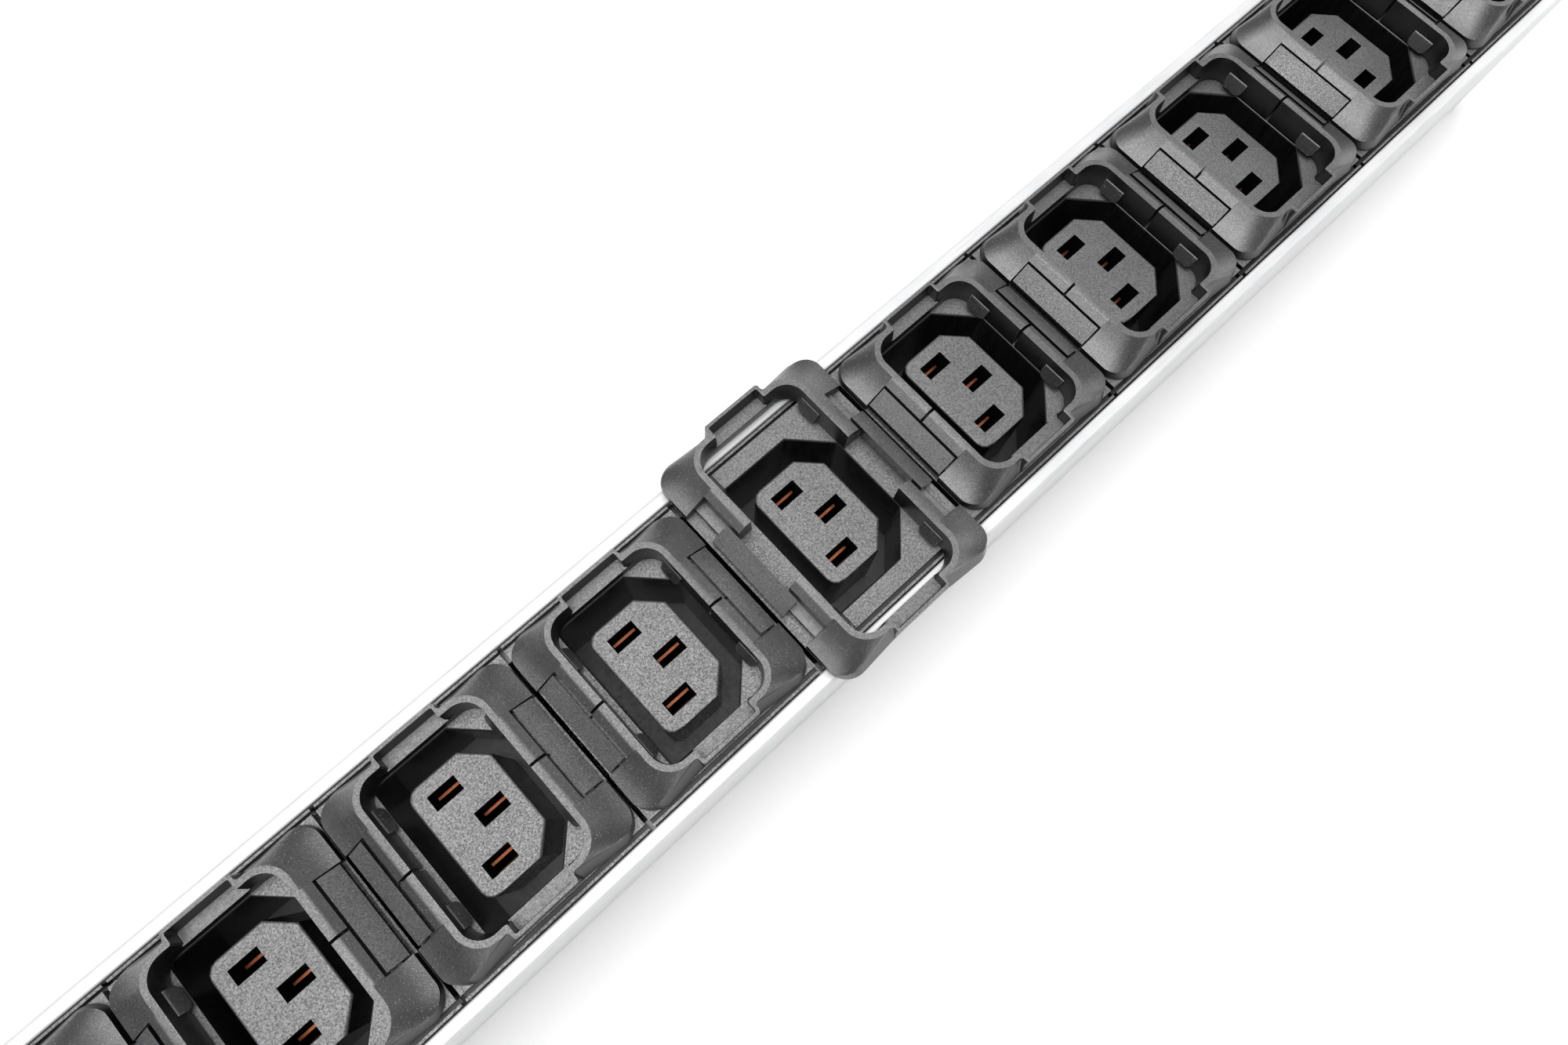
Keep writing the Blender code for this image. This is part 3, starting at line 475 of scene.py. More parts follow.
# %% [markdown]
# ## Outlet modules
#
# Each outlet is one moulding: a top plate, a deep well and a socket core with three slots. The
# solid has these forms with knife-sharp edges, which no mould makes. So the module is copied once,
# its triangles are merged into plain faces, and its edges are rounded: broadly at the top of the
# core, finely everywhere else. The same module then serves all ten outlets.
#
# The first outlet that shows whole in the photograph, number 02, is the one that is worked on.

# %% Copy one outlet module
SPARE = "02"
module_x = outlet_x[SPARE]


def copy_of(node_name, name):
    """A merged copy of a CAD node, as an object of its own."""
    item = add_object(name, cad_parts[node_name].data.copy())
    item.data.materials.clear()
    select_only(item)
    bpy.ops.object.mode_set(mode="EDIT")
    bpy.ops.mesh.select_all(action="SELECT")
    bpy.ops.mesh.remove_doubles(threshold=0.002 * MM)
    bpy.ops.mesh.customdata_custom_splitnormals_clear()
    bpy.ops.mesh.dissolve_limited(angle_limit=math.radians(0.5))
    leave_edit()
    return item


module = copy_of("outlet_module_" + SPARE, "outlet_" + SPARE)
print("module faces", len(module.data.polygons))

# %% [markdown]
# The edges are picked by their height and their place: first the outline of the core's top, then
# the outline of the well in the deck, and last every edge that is still sharp. The slots keep
# finer edges than the outline round them.

# %% Round the edges of the module
CORE_ROUND = 0.45 * MM
WELL_ROUND = 0.32 * MM
FINE_ROUND = 0.13 * MM
DECK_Z = FACE_Z + 1.05 * MM
SLOTS_X = 5.2 * MM
SLOTS_Y = 8.6 * MM
WELL_X = 11.4 * MM
WELL_Y = 15.0 * MM


def place_of(edge, height):
    """How far an edge lies from the middle of the outlet in x and y, or None off that height."""
    if any(abs(vert.co.z - height) > 0.02 * MM for vert in edge.verts):
        return None
    middle = (edge.verts[0].co + edge.verts[1].co) / 2
    return abs(middle.x - module_x), abs(middle.y)


def core_rim(edge):
    """True for the outline of the core's top face, without the three slots."""
    place = place_of(edge, FACE_Z)
    outside = place and (place[0] > SLOTS_X - 0.2 * MM or place[1] > SLOTS_Y)
    return outside and edge_angle(edge) > math.radians(60)


def well_rim(edge):
    """True for the outline of the well in the deck."""
    place = place_of(edge, DECK_Z)
    inside = place and place[0] < WELL_X and place[1] < WELL_Y
    return inside and edge_angle(edge) > math.radians(60)


def crisp(edge):
    return edge_angle(edge) > math.radians(40) and edge.calc_length() > 0.3 * MM


print("core outline edges", round_edges(module, CORE_ROUND, 4, core_rim))
print("well outline edges", round_edges(module, WELL_ROUND, 3, well_rim))
print("fine edges", round_edges(module, FINE_ROUND, 2, crisp))
print("module triangles", triangles(module))

# %% [markdown]
# The finish follows the mould. On the core and the keeper tabs, all faces that look up a little
# are textured, and elsewhere only the level ones. The bottom of the well is dull, the insides of
# the slots are painted nearly black as painted shade, and all other walls are polished. How far a
# face looks up is the Z of its normal: 1 is level and 0 is upright.

# %% Give the module its five finishes
WELL, CORE, TAB, BOTTOM, SLOT = range(5)
for finish in (well_gloss, coarse_grain, middle_grain, well_floor, slot_painted_shade):
    module.data.materials.append(finish)
CORE_X = 7.6 * MM
CORE_Y = 11.3 * MM
TOP_ZONE = FACE_Z - 0.8 * MM
TAB_ZONE = FACE_Z + 1.3 * MM
A_LITTLE_UP, ALMOST_LEVEL, LEVEL = 0.35, 0.90, 0.97
for face in module.data.polygons:
    x, y, z = abs(face.center.x - module_x), abs(face.center.y), face.center.z
    sloping = (x < CORE_X and y < CORE_Y) or z > TAB_ZONE
    looks_up = face.normal.z > (A_LITTLE_UP if sloping else LEVEL)
    if looks_up and z > TAB_ZONE:
        face.material_index = TAB
    elif looks_up and z > TOP_ZONE:
        face.material_index = CORE
    elif face.normal.z > ALMOST_LEVEL:
        face.material_index = BOTTOM
    elif x < SLOTS_X and y < SLOTS_Y:
        face.material_index = SLOT
    else:
        face.material_index = WELL
shade(module)
used = [face.material_index for face in module.data.polygons]
print("faces of each finish", [used.count(index) for index in (WELL, CORE, TAB, BOTTOM, SLOT)])

# %% [markdown]
# The other nine are copies. Each has a mesh of its own, and its place is in that mesh.

# %% Set the ten outlets in place


def place_copy(item, name, *moves):
    """A copy with its own mesh, into which the moves go one after the other."""
    twin = add_object(name, item.data.copy())
    for move in moves:
        twin.data.transform(move)
    return twin


for label in LABELS:
    if label == SPARE:
        piece = module
    else:
        shift = Vector((outlet_x[label] - module_x, 0, 0))
        piece = place_copy(module, "outlet_" + label, Matrix.Translation(shift))
    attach(piece, "root")
    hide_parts("outlet_module_" + label)
print("outlets", len(LABELS))

# %% [markdown]
# ## Locking collar
#
# The collar is the part that gives this unit its look. Each half is a U. Its rim is a rounded band
# round the plug; outside the band a hollow slope runs down to the skirt. In the middle of the long
# side the rim steps out round a finger pocket. Under each arm runs a flat tongue that the keeper
# tab holds down, and inside each arm a lug grips the plug.
#
# A U like this could be cut from blocks with Booleans, but its slopes change all the way round. So
# it is lofted: closed sections are set up along the U and bridged one to the next, as one would
# stretch a skin over ribs.
#
# All places are measured from the middle of the outlet and from its face. The outer reach comes
# from the solid. The steps inwards from there, and the heights, were read from the photograph.

# %% Sizes of the collar, from its solid
collar_low, collar_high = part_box("collar_upper_" + SPARE)
SKIRT_X = (collar_high.x - collar_low.x) / 2
SKIRT_Y = collar_high.y
RIM_Z = collar_high.z - FACE_Z
FOOT_Z = collar_low.z - FACE_Z
SEAM_Y = collar_low.y
TONGUE_X = SKIRT_X - 2.1 * MM
TONGUE_Z = 2.6 * MM
ARM_X = SKIRT_X - 4.2 * MM
ARM_Z = 5.8 * MM
NOTCH_Y = 9.1 * MM
RIM_X = ARM_X - 2.75 * MM
RIM_Y = SKIRT_Y - 3.2 * MM
RIM_CORNER = 3.8 * MM
BAND = 1.1 * MM
SKIRT_Z = 3.4 * MM
SKIRT_CORNER = 4.2 * MM
LEAN = 0.4
SHELF_Z = 3.4 * MM
WALL_DRAFT = 0.3 * MM
SIDE_DRAFT = 0.5 * MM
COVE_SAG = 0.45 * MM
POCKET_X = RIM_X - RIM_CORNER - 1.4 * MM
POCKET_Y = RIM_Y + 2.7 * MM
POCKET_BAND = 0.6 * MM
POCKET_OUTER_ROUND = 0.55 * MM
POCKET_INNER_ROUND = 0.35 * MM
CORNER_STEPS = 12
BEND_STEPS = 4
print("collar half", [round(size / MM, 2) for size in (2 * SKIRT_X, SKIRT_Y, RIM_Z)], "mm")

# %% [markdown]
# A section is a closed loop of ten points: the foot, the shelf or a point on the plain wall, the
# band on top, three points down the hollow slope, and the skirt. Each function below gives the
# section of one stretch of the U.

# %% Sections along the collar
QUARTERS = (0.25, 0.5, 0.75)
LOW_SHARE = 0.35
HIGH_SHARE = 0.6


def section(rim, band, facet, skirt, shelf_edge, shelf_back, foot):
    """Ten points round the collar's wall; facet, shelf_edge and shelf_back have a height."""
    top = Vector((*band, RIM_Z))
    edge = Vector(facet)
    points = [Vector((*foot, FOOT_Z)), Vector(shelf_edge), Vector(shelf_back),
              Vector((*rim, RIM_Z)), top]
    for share in QUARTERS:
        sag = COVE_SAG * 4 * share * (1 - share)
        points.append(top.lerp(edge, share) - Vector((0, 0, sag)))
    points.append(edge)
    points.append(Vector((*skirt, FOOT_Z)))
    return points


def arm_section(y):
    """The arm beside the keeper tab: a plain slope that ends above the tongue."""
    lower = Vector((RIM_X - WALL_DRAFT, y, FOOT_Z))
    upper = Vector((RIM_X, y, RIM_Z))
    points = [lower, lower.lerp(upper, LOW_SHARE), lower.lerp(upper, HIGH_SHARE), upper]
    top = Vector((RIM_X + BAND, y, RIM_Z))
    edge = Vector((ARM_X, y, ARM_Z))
    points.append(top)
    points += [top.lerp(edge, share) for share in QUARTERS]
    points.append(edge)
    points.append(Vector((ARM_X, y, FOOT_Z)))
    return points


def corner_section(centre, angle, skirt):
    """The wall round the corner: the skirt's facet leans more towards the long side."""
    out = Vector((math.cos(angle), math.sin(angle)))
    draft = WALL_DRAFT * out.x ** 2 + SIDE_DRAFT * out.y ** 2
    rim = Vector(centre) + out * RIM_CORNER
    foot = rim - out * draft
    lean = out * LEAN * out.y ** 2 * (SKIRT_Z - FOOT_Z)
    facet = (skirt[0] - lean.x, skirt[1] - lean.y, SKIRT_Z)
    low = (*foot.lerp(rim, LOW_SHARE), FOOT_Z + LOW_SHARE * (RIM_Z - FOOT_Z))
    high = (*foot.lerp(rim, HIGH_SHARE), FOOT_Z + HIGH_SHARE * (RIM_Z - FOOT_Z))
    band = Vector(centre) + out * (RIM_CORNER + BAND)
    return section(rim, band, facet, skirt, low, high, foot)


def pocket_section(rim, band, shelf_y):
    """A section where the rim steps out round the finger pocket."""
    foot_y = RIM_Y - SIDE_DRAFT
    facet_z = FOOT_Z + (POCKET_Y - RIM_Y - BAND) / LEAN
    return section(
        rim, band, (*band, facet_z), (band[0], max(POCKET_Y, band[1])),
        (rim[0], foot_y, SHELF_Z), (rim[0], shelf_y, SHELF_Z + 0.02 * MM), (rim[0], foot_y),
    )


def bend(centre, radius, start, stop):
    """Points along an arc, with angles in degrees."""
    points = []
    for step in range(BEND_STEPS + 1):
        angle = math.radians(start + (stop - start) * step / BEND_STEPS)
        points.append((centre[0] + radius * math.cos(angle), centre[1] + radius * math.sin(angle)))
    return points


def collar_side():
    """All sections of the +X side, from the end of the arm to the middle of the pocket."""
    sections = [arm_section(SEAM_Y), arm_section(NOTCH_Y)]
    rim_centre = (RIM_X - RIM_CORNER, RIM_Y - RIM_CORNER)
    skirt_centre = (SKIRT_X - SKIRT_CORNER, SKIRT_Y - SKIRT_CORNER)
    sections.append(corner_section((rim_centre[0], NOTCH_Y), 0.0, (SKIRT_X, NOTCH_Y)))
    for step in range(CORNER_STEPS + 1):
        angle = math.pi / 2 * step / CORNER_STEPS
        skirt = (skirt_centre[0] + SKIRT_CORNER * math.cos(angle),
                 skirt_centre[1] + SKIRT_CORNER * math.sin(angle))
        sections.append(corner_section(rim_centre, angle, skirt))
    inner_x = POCKET_X - POCKET_BAND
    outer_r, inner_r = POCKET_OUTER_ROUND, POCKET_INNER_ROUND
    rims = bend((inner_x + inner_r, RIM_Y + inner_r), inner_r, 270, 180)
    bands = bend((POCKET_X + outer_r, RIM_Y + BAND + outer_r), outer_r, 270, 180)
    for rim, band in zip(rims, bands):
        sections.append(pocket_section(rim, band, max(rim[1], RIM_Y) - WALL_DRAFT))
    wall_y = POCKET_Y - POCKET_BAND
    rims = bend((inner_x - inner_r, wall_y - inner_r), inner_r, 0, 90)
    bands = bend((POCKET_X - outer_r, POCKET_Y - outer_r), outer_r, 0, 90)
    for rim, band in zip(rims, bands):
        sections.append(pocket_section(rim, band, rim[1] - WALL_DRAFT))
    return sections


# %% [markdown]
# The sections of the +X side are mirrored for the -X side. Bridging takes two loops at a time, so
# the skin can't twist. The open ends of the two arms are filled, and the long edges are rounded.

# %% Loft the half collar


def close_skin(item, distance):
    """Merge the points that lie closer than a distance, and turn all faces outwards."""
    select_only(item)
    bpy.ops.object.mode_set(mode="EDIT")
    bpy.ops.mesh.select_all(action="SELECT")
    bpy.ops.mesh.remove_doubles(threshold=distance)
    bpy.ops.mesh.normals_make_consistent(inside=False)
    leave_edit()


def loft(name, loops):
    """A skin over closed loops of equal length, bridged pair by pair and filled at both ends."""
    count = len(loops[0])
    points = [point for loop in loops for point in loop]
    edges = []
    for number in range(len(loops)):
        first = number * count
        edges += [(first + i, first + (i + 1) % count) for i in range(count)]
    mesh = bpy.data.meshes.new(name)
    mesh.from_pydata(points, edges, [])
    item = add_object(name, mesh)
    for number in range(len(loops) - 1):
        pair = range(number * count, (number + 2) * count)
        pick(item, "EDGE", lambda edge: all(vert.index in pair for vert in edge.verts))
        bpy.ops.mesh.bridge_edge_loops()
        leave_edit()
    ends = set(range(count)), set(range(len(points) - count, len(points)))
    for end in ends:
        pick(item, "EDGE", lambda edge: all(vert.index in end for vert in edge.verts))
        bpy.ops.mesh.edge_face_add()
        leave_edit()
    close_skin(item, 0.001 * MM)
    return item


right = collar_side()
left = [[Vector((-p.x, p.y, p.z)) for p in loop] for loop in reversed(right)]
collar = loft("collar_half", right + left)
print("collar sections", len(right) * 2, "faces", len(collar.data.polygons))
EDGE_ROUND = 0.27 * MM
count = round_edges(collar, EDGE_ROUND, 3, lambda e: edge_angle(e) > math.radians(33))
print("rounded", count, "edges")

# %% [markdown]
# The tongues and the lugs are small bars. Each starts as a cube at its size, gets its round ends
# from a bevel, and is joined to the arm with a Boolean, so that the half stays one closed body.
# A bar ends a hair short of the arm's own faces, because a Boolean can misread two faces that lie
# in one plane. A lug leans back towards the rim, so that a plug slips in between the two, and its
# lower corners are round.

# %% Tongues and lugs
LUG_REACH = 1.5 * MM
LUG_Z = 4.5 * MM
LUG_LENGTH = 4.6 * MM
LUG_FOOT = 1.9 * MM
LUG_SLOPE = 1.2 * MM
LUG_ROUND = 1.2 * MM
LUG_EDGE = 0.25 * MM
TONGUE_ROUND = 0.12 * MM
HAIR = 0.03 * MM


def bar(low, high, width=0, segments=1, test=None):
    """A box between two corners, with the edges that a test picks rounded."""
    low, high = Vector(low), Vector(high)
    bpy.ops.object.select_all(action="DESELECT")
    bpy.ops.mesh.primitive_cube_add(size=1, location=(low + high) / 2)
    item = bpy.context.active_object
    item.data.transform(Matrix.Diagonal((*(high - low), 1)))
    item.data.transform(Matrix.Translation(item.location))
    item.location = (0, 0, 0)
    if width:
        round_edges(item, width, segments, test)
    return item


def along_x(edge):
    step = edge.verts[0].co - edge.verts[1].co
    return abs(step.y) < HAIR and abs(step.z) < HAIR


def lug_tip(edge):
    """True for the upper inner edge of a lug, before it leans back."""
    return all(abs(vert.co.x) < RIM_X - LUG_REACH + HAIR and vert.co.z > LUG_Z - HAIR
               for vert in edge.verts)


def combine(item, other, operation="UNION"):
    apply_modifier(item, "BOOLEAN", operation=operation, solver="EXACT", object=other)
    bpy.data.objects.remove(other, do_unlink=True)


lug_end = RIM_Y - RIM_CORNER
for side in (-1, 1):
    xs = sorted((side * (RIM_X + BAND / 2), side * TONGUE_X))
    tongue = bar((xs[0], SEAM_Y + HAIR, FOOT_Z + HAIR), (xs[1], NOTCH_Y + 0.4 * MM, TONGUE_Z),
                 TONGUE_ROUND, 2, lambda e: abs(e.verts[0].co.x - e.verts[1].co.x) < 0.01 * MM)
    combine(collar, tongue)
    xs = sorted((side * (RIM_X - LUG_REACH), side * (RIM_X + BAND / 2)))
    lug = bar((xs[0], lug_end - LUG_LENGTH, LUG_FOOT), (xs[1], lug_end, LUG_Z))
    pick(lug, "EDGE", lug_tip)
    bpy.ops.transform.translate(value=(side * LUG_SLOPE, 0, 0))
    leave_edit()
    round_edges(lug, LUG_ROUND, 5, lambda e: along_x(e) and e.verts[0].co.z < LUG_FOOT + HAIR)
    round_edges(lug, LUG_EDGE, 2, lambda e: (max(abs(v.co.x) for v in e.verts) < RIM_X
                                             and edge_angle(e) > math.radians(35)))
    combine(collar, lug)
print("collar with tongues and lugs", len(collar.data.polygons), "faces")

# %% [markdown]
# The slopes and the lugs are textured. The band on top and the shelf of the pocket are textured
# too, and painted paler: a painted highlight for the light these level faces catch. The steep walls
# are satin.

# %% Finish the half collar
SLOPE, BAND_TOP, WALL = range(3)
SLOPE_UP, BAND_UP = 0.5, 0.8
for finish in (fine_grain, rim_highlight_grain, collar_satin):
    collar.data.materials.append(finish)
for face in collar.data.polygons:
    x, y, z = abs(face.center.x), face.center.y, face.center.z
    on_shelf = y > RIM_Y - 0.7 * MM and x < POCKET_X
    along_lug = lug_end - LUG_LENGTH - HAIR < y < lug_end + HAIR
    on_lug = along_lug and z < LUG_Z + HAIR and x < RIM_X - WALL_DRAFT - HAIR
    # Level faces of the band and shelf take the paler grain, a painted highlight.
    if face.normal.z > BAND_UP and (on_shelf or z > RIM_Z - 0.2 * MM):
        face.material_index = BAND_TOP
    elif face.normal.z > SLOPE_UP or on_lug:
        face.material_index = SLOPE
    else:
        face.material_index = WALL
shade(collar)
print("collar triangles", triangles(collar))

# %% [markdown]
# One half serves all twenty places. The lower halves are the same moulding turned half a circle.
# Where the halves stand at rest, open or closed, is read from the solids.

# %% Set the collars in place
for label in LABELS:
    for word, turn, side in (("upper", 0, 1), ("lower", 180, -1)):
        node_name = "collar_" + word + "_" + label
        low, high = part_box(node_name)
        reach = max(abs(low.y), abs(high.y))
        shift = Vector((outlet_x[label], side * (reach - SKIRT_Y), FACE_Z))
        piece = place_copy(collar, "lock_" + word + "_" + label,
                           Matrix.Rotation(math.radians(turn), 4, "Z"), Matrix.Translation(shift))
        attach(piece, node_name)
        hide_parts(node_name)
bpy.data.objects.remove(collar, do_unlink=True)
print("collar halves", 2 * len(LABELS))

# %% [markdown]
# ## Channel, covers, caps and the gland's fixed parts
#
# The solids of these pieces have the right form, but their edges are knife sharp. A die, a mould
# and a deburring brush all leave a small radius, and it is that radius which catches the light as
# a thin bright line. So each piece is a merged copy of its solid with its edges rounded. The table
# gives each node its piece, the width of its edges, a slot name and its finish.

# %% Round the edges of the plain pieces
SOFTENED = {
    "housing_extrusion": ("channel", 0.15 * MM, "anodised_aluminium", aluminium),
    "input_cover": ("cover_input", 0.30 * MM, "black_nylon", middle_grain),
    "far_cover": ("cover_far", 0.30 * MM, "black_nylon", middle_grain),
    "input_cap": ("cap_input", 0.35 * MM, "black_nylon", plain_nylon),
    "far_cap": ("cap_far", 0.35 * MM, "black_nylon", plain_nylon),
    "gland_body": ("gland_hexagon", 0.40 * MM, "black_nylon", plain_nylon),
    "gland_seal": ("gland_ring", 0.35 * MM, "seal_rubber", rubber),
}


def corner(edge):
    return edge_angle(edge) > math.radians(25)


def hand_in(piece, node_name, finish=None):
    """Let a root piece stand for its CAD node."""
    if finish:
        piece.data.materials.append(finish)
    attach(piece, "root")
    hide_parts(node_name)


for node_name, (name, width, slot_name, finish) in SOFTENED.items():
    piece = copy_of(node_name, name)
    count = round_edges(piece, width, 2, corner)
    shade(piece)
    hand_in(piece, node_name, finish)
    print(name, "rounded", count, "edges")

# %% [markdown]
# ## Screws of the end caps
#
# Each cap is held by four pan-head screws with a cross recess. A turned part is quickest made by
# spinning half of its outline round its axis. The recess is then cut with two crossing bars. Every
# screw stops turning somewhere else, so each copy gets its own angle.

# %% Model one screw
screw_low, screw_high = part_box("far_cap_screw_1")
HEAD_RADIUS = (screw_high.y - screw_low.y) / 2
HEAD_HEIGHT = 2.05 * MM
DOME = 1.3 * MM
SHANK_RADIUS = 1.45 * MM
SHANK_END = screw_high.x - screw_low.x
SHANK_TIP = 1.5 * MM
HEAD_EDGE = 0.15 * MM
DOME_STEPS = 8
SCREW_STEPS = 32
RECESS_LENGTH = 1.7 * MM
RECESS_WIDTH = 0.38 * MM
RECESS_DEPTH = 1.1 * MM


def spun(name, profile, steps):
    """Spin an outline of (place along X, radius) points round the X axis.

    An outline that starts off the axis is a closed ring, as for the nut.
    """
    mesh = bpy.data.meshes.new(name)
    count = len(profile)
    closed = profile[0][1] > 0
    edges = [(i, (i + 1) % count) for i in range(count if closed else count - 1)]
    mesh.from_pydata([(x, 0, radius) for x, radius in profile], edges, [])
    item = add_object(name, mesh)
    select_only(item)
    bpy.ops.object.mode_set(mode="EDIT")
    bpy.ops.mesh.select_all(action="SELECT")
    bpy.ops.mesh.spin(steps=steps, angle=2 * math.pi, center=(0, 0, 0), axis=(1, 0, 0))
    leave_edit()
    close_skin(item, 0.002 * MM)
    return item


outline = [(-SHANK_END, 0.0), (-SHANK_END, 0.6 * SHANK_RADIUS),
           (-SHANK_END + SHANK_TIP, SHANK_RADIUS), (-HEAD_HEIGHT, SHANK_RADIUS),
           (-HEAD_HEIGHT, HEAD_RADIUS - HEAD_EDGE), (-HEAD_HEIGHT + HEAD_EDGE, HEAD_RADIUS)]
for step in range(DOME_STEPS + 1):
    angle = math.pi / 2 * step / DOME_STEPS
    outline.append((-DOME * (1 - math.sin(angle)), HEAD_RADIUS * math.cos(angle) ** 0.6))
outline[-1] = (0.0, 0.0)  # exactly on the axis, which closes the head
screw = spun("pan_head_screw", outline, SCREW_STEPS)
for y, z, depth in ((RECESS_LENGTH, RECESS_WIDTH, RECESS_DEPTH),
                    (RECESS_WIDTH, RECESS_LENGTH, RECESS_DEPTH + HAIR)):
    blade = bar((-depth, -y, -z), (MM, y, z))
    combine(screw, blade, "DIFFERENCE")
shade(screw, 30)
print("screw triangles", triangles(screw))

# %% [markdown]
# The screws of the input cap point the other way, so their copies are turned half a circle first.

# %% Set the eight screws in place
TURN_BETWEEN = 37
for cap_name, turn, outward in (("input_cap", 180, -1), ("far_cap", 0, 1)):
    for number in range(1, 5):
        node_name = cap_name + "_screw_" + str(number)
        low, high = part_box(node_name)
        top = (low + high) / 2
        top.x = high.x if outward > 0 else low.x
        piece = place_copy(screw, "pan_" + node_name,
                           Matrix.Rotation(math.radians(TURN_BETWEEN * number), 4, "X"),
                           Matrix.Rotation(math.radians(turn), 4, "Z"), Matrix.Translation(top))
        hand_in(piece, node_name, zinc)
bpy.data.objects.remove(screw, do_unlink=True)
print("turned", TURN_BETWEEN, "degrees from one screw to the next")

# %% [markdown]
# ## Dome nut of the cable gland
#
# The nut squeezes the seal round the cable. It is spun like the screw: a straight collar for the
# fingers, then a dome down to the mouth. The grip is a ring of shallow flutes. Every fourth face
# of the collar is inset and pushed in, which gives each flute its sloping sides in one step.

# %% Model the dome nut
nut_low, nut_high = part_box("gland_nut")
NUT_LENGTH = nut_high.x - nut_low.x
NUT_RADIUS = (nut_high.y - nut_low.y) / 2
NUT_INNER = NUT_RADIUS - 1.5 * MM
MOUTH = 7.0 * MM
LIP = 0.35 * MM
ROOF = 10.3 * MM
FLUTE_FROM = 1.2 * MM
FLUTE_TO = 7.0 * MM
NUT_STEPS = 48
outline = [(0.0, NUT_INNER), (0.0, NUT_RADIUS - LIP), (LIP, NUT_RADIUS), (FLUTE_FROM, NUT_RADIUS),
           (FLUTE_TO, NUT_RADIUS)]
for step in range(DOME_STEPS + 1):
    angle = math.pi / 2 * step / DOME_STEPS
    outline.append((FLUTE_TO + LIP + (NUT_LENGTH - FLUTE_TO - LIP) * math.sin(angle),
                    MOUTH + 2 * LIP + (NUT_RADIUS - MOUTH - 2 * LIP) * math.cos(angle)))
outline += [(NUT_LENGTH, MOUTH + LIP), (NUT_LENGTH - LIP, MOUTH), (ROOF, MOUTH), (ROOF, NUT_INNER)]
nut = spun("gland_dome_nut", outline, NUT_STEPS)
print("nut triangles", triangles(nut))

# %% [markdown]
# The flutes are picked by place and pressed in, and then the nut is turned to point away from the
# cap and moved to where its solid is.

# %% Press in the flutes
FLUTE_EDGE = 0.25 * MM
FLUTE_DEPTH = 0.45 * MM


def on_flute(face):
    """True for every fourth face of the nut's straight collar."""
    middle = face.calc_center_median()
    radius = math.hypot(middle.y, middle.z)
    sector = int(math.degrees(math.atan2(middle.z, middle.y)) % 360 / (360 / NUT_STEPS))
    outer = radius > NUT_RADIUS - 0.3 * MM
    return outer and FLUTE_FROM < middle.x < FLUTE_TO and sector % 4 == 0


print("flutes", pick(nut, "FACE", on_flute))
bpy.ops.mesh.inset(thickness=FLUTE_EDGE, depth=-FLUTE_DEPTH, use_individual=True)
leave_edit()
nut.data.transform(Matrix.Rotation(math.radians(180), 4, "Z"))
nut.data.transform(Matrix.Translation((nut_high.x, 0, (nut_low.z + nut_high.z) / 2)))
shade(nut, 30)
hand_in(nut, "gland_nut", plain_nylon)

# %% [markdown]
# ## Pieces that keep their solids
#
# The rails, the terminal block with its screws and the locknut sit inside. They have the right
# form already, so they only change their finish. The solids that a piece stands for are given one
# as well, so that none is left plain.

# %% Finishes for the other nodes
FINISH_OF = {"contact_rail": copper, "terminal_screw": zinc}
for node_name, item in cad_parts.items():
    finish = plain_nylon
    for start, material in FINISH_OF.items():
        if node_name.startswith(start):
            finish = material
    item.data.materials.clear()
    item.data.materials.append(finish)
print("solids with a finish", len(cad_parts))

# %% [markdown]
# ## Paper
#
# The unit lies on white paper, which keeps the soft shadow beside the channel. A little light of
# its own, seen only by the camera and in reflections, makes it white. Far from the unit that light
# grows, so that the paper has no edge or horizon in a view from the side.

# %% White paper
PAPER_SIZE = 6
PAPER_DROP = 0.05 * MM
NEAR, FAR = 0.4, 1.4
NEAR_LIGHT, FAR_LIGHT = 0.03, 1.0
bpy.ops.object.select_all(action="DESELECT")
bpy.ops.mesh.primitive_plane_add(size=PAPER_SIZE, location=(0, 0, -PAPER_DROP))
floor = bpy.context.active_object
floor.name = "paper_floor"
floor_finish, floor_tree, floor_shader, floor_place = new_finish("white_paper")
floor_shader.inputs["Base Color"].default_value = linear("#f4f4f4")
floor_shader.inputs["Roughness"].default_value = 0.9
floor_shader.inputs["Emission Color"].default_value = (1, 1, 1, 1)
light_path = add_node(floor_tree, "ShaderNodeLightPath")
mirrored = add_node(floor_tree, "ShaderNodeMath", {"operation": "MAXIMUM"},
                    {0: light_path.outputs["Is Glossy Ray"],
                     1: light_path.outputs["Is Transmission Ray"]})
seen = add_node(floor_tree, "ShaderNodeMath", {"operation": "MAXIMUM"},
                {0: light_path.outputs["Is Camera Ray"], 1: mirrored.outputs["Value"]})
away = add_node(floor_tree, "ShaderNodeVectorMath", {"operation": "LENGTH"}, {0: floor_place})
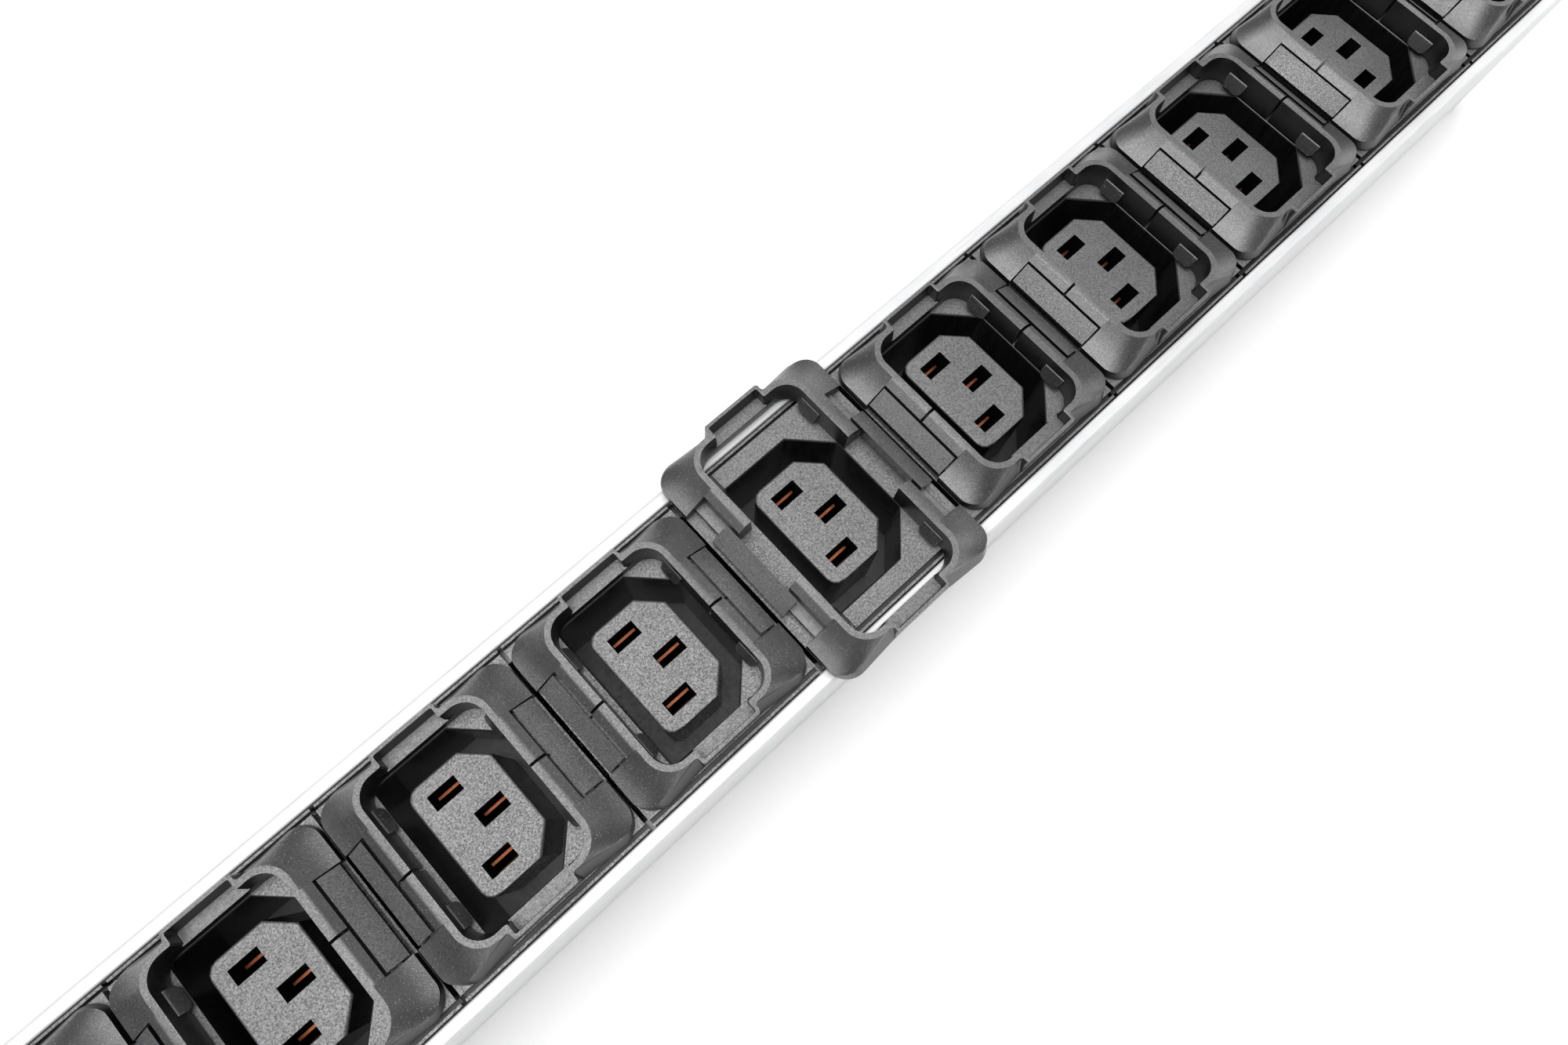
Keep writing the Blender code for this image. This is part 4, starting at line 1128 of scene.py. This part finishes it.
whiter = add_node(floor_tree, "ShaderNodeMapRange",
                  {"From Min": NEAR, "From Max": FAR, "To Min": NEAR_LIGHT, "To Max": FAR_LIGHT},
                  {"Value": away.outputs["Value"]})
lift = add_node(floor_tree, "ShaderNodeMath", {"operation": "MULTIPLY"},
                {0: seen.outputs["Value"], 1: whiter.outputs["Result"]})
floor_tree.links.new(lift.outputs["Value"], floor_shader.inputs["Emission Strength"])
floor.data.materials.append(floor_finish)
print("paper", PAPER_SIZE, "m wide")

# %% [markdown]
# ## Lights
#
# One large soft box hangs above, a little towards the cable end. Its reflection is what makes
# black plastic look grey from above, and the slopes that lean towards it look the brightest. A
# small bounce card stands low beyond the far end and fills the slopes that lean the other way.

# %% Soft box and bounce card


def hang_lamp(name, direction, away, sides, power):
    """A rectangular lamp that shines at the origin, its first side level."""
    data = bpy.data.lights.new(name, "AREA")
    data.shape = "RECTANGLE"
    data.size, data.size_y = sides
    data.energy = power
    lamp = add_object(name, data)
    direction = Vector(direction).normalized()
    long_side = Vector((0, 1, 0)).cross(direction).normalized()
    short_side = direction.cross(long_side)
    lamp.matrix_world = Matrix((long_side, short_side, direction)).transposed().to_4x4()
    lamp.matrix_world.translation = direction * away
    print(name, sides, "m,", power, "W")


hang_lamp("soft_box", (-0.13, 0.09, 0.98), away=2.4, sides=(2.6, 1.5), power=67.0)
hang_lamp("bounce_card", (0.95, 0.0, 0.32), away=0.5, sides=(0.25, 0.55), power=0.65)

# %% [markdown]
# The room round the unit is white but dim, which gives the shadows their depth. Only the camera
# sees it at full white.

# %% Surroundings
ROOM_LIGHT = 0.35
world = bpy.data.worlds.new("white_room")
bpy.context.scene.world = world
world.use_nodes = True
background = world.node_tree.nodes["Background"]
background.inputs["Color"].default_value = (1, 1, 1, 1)
in_view = add_node(world.node_tree, "ShaderNodeLightPath")
strength = add_node(world.node_tree, "ShaderNodeMapRange", {"To Min": ROOM_LIGHT, "To Max": 1.0},
                    {"Value": in_view.outputs["Is Camera Ray"]})
world.node_tree.links.new(strength.outputs["Result"], background.inputs["Strength"])
print("room light", ROOM_LIGHT)
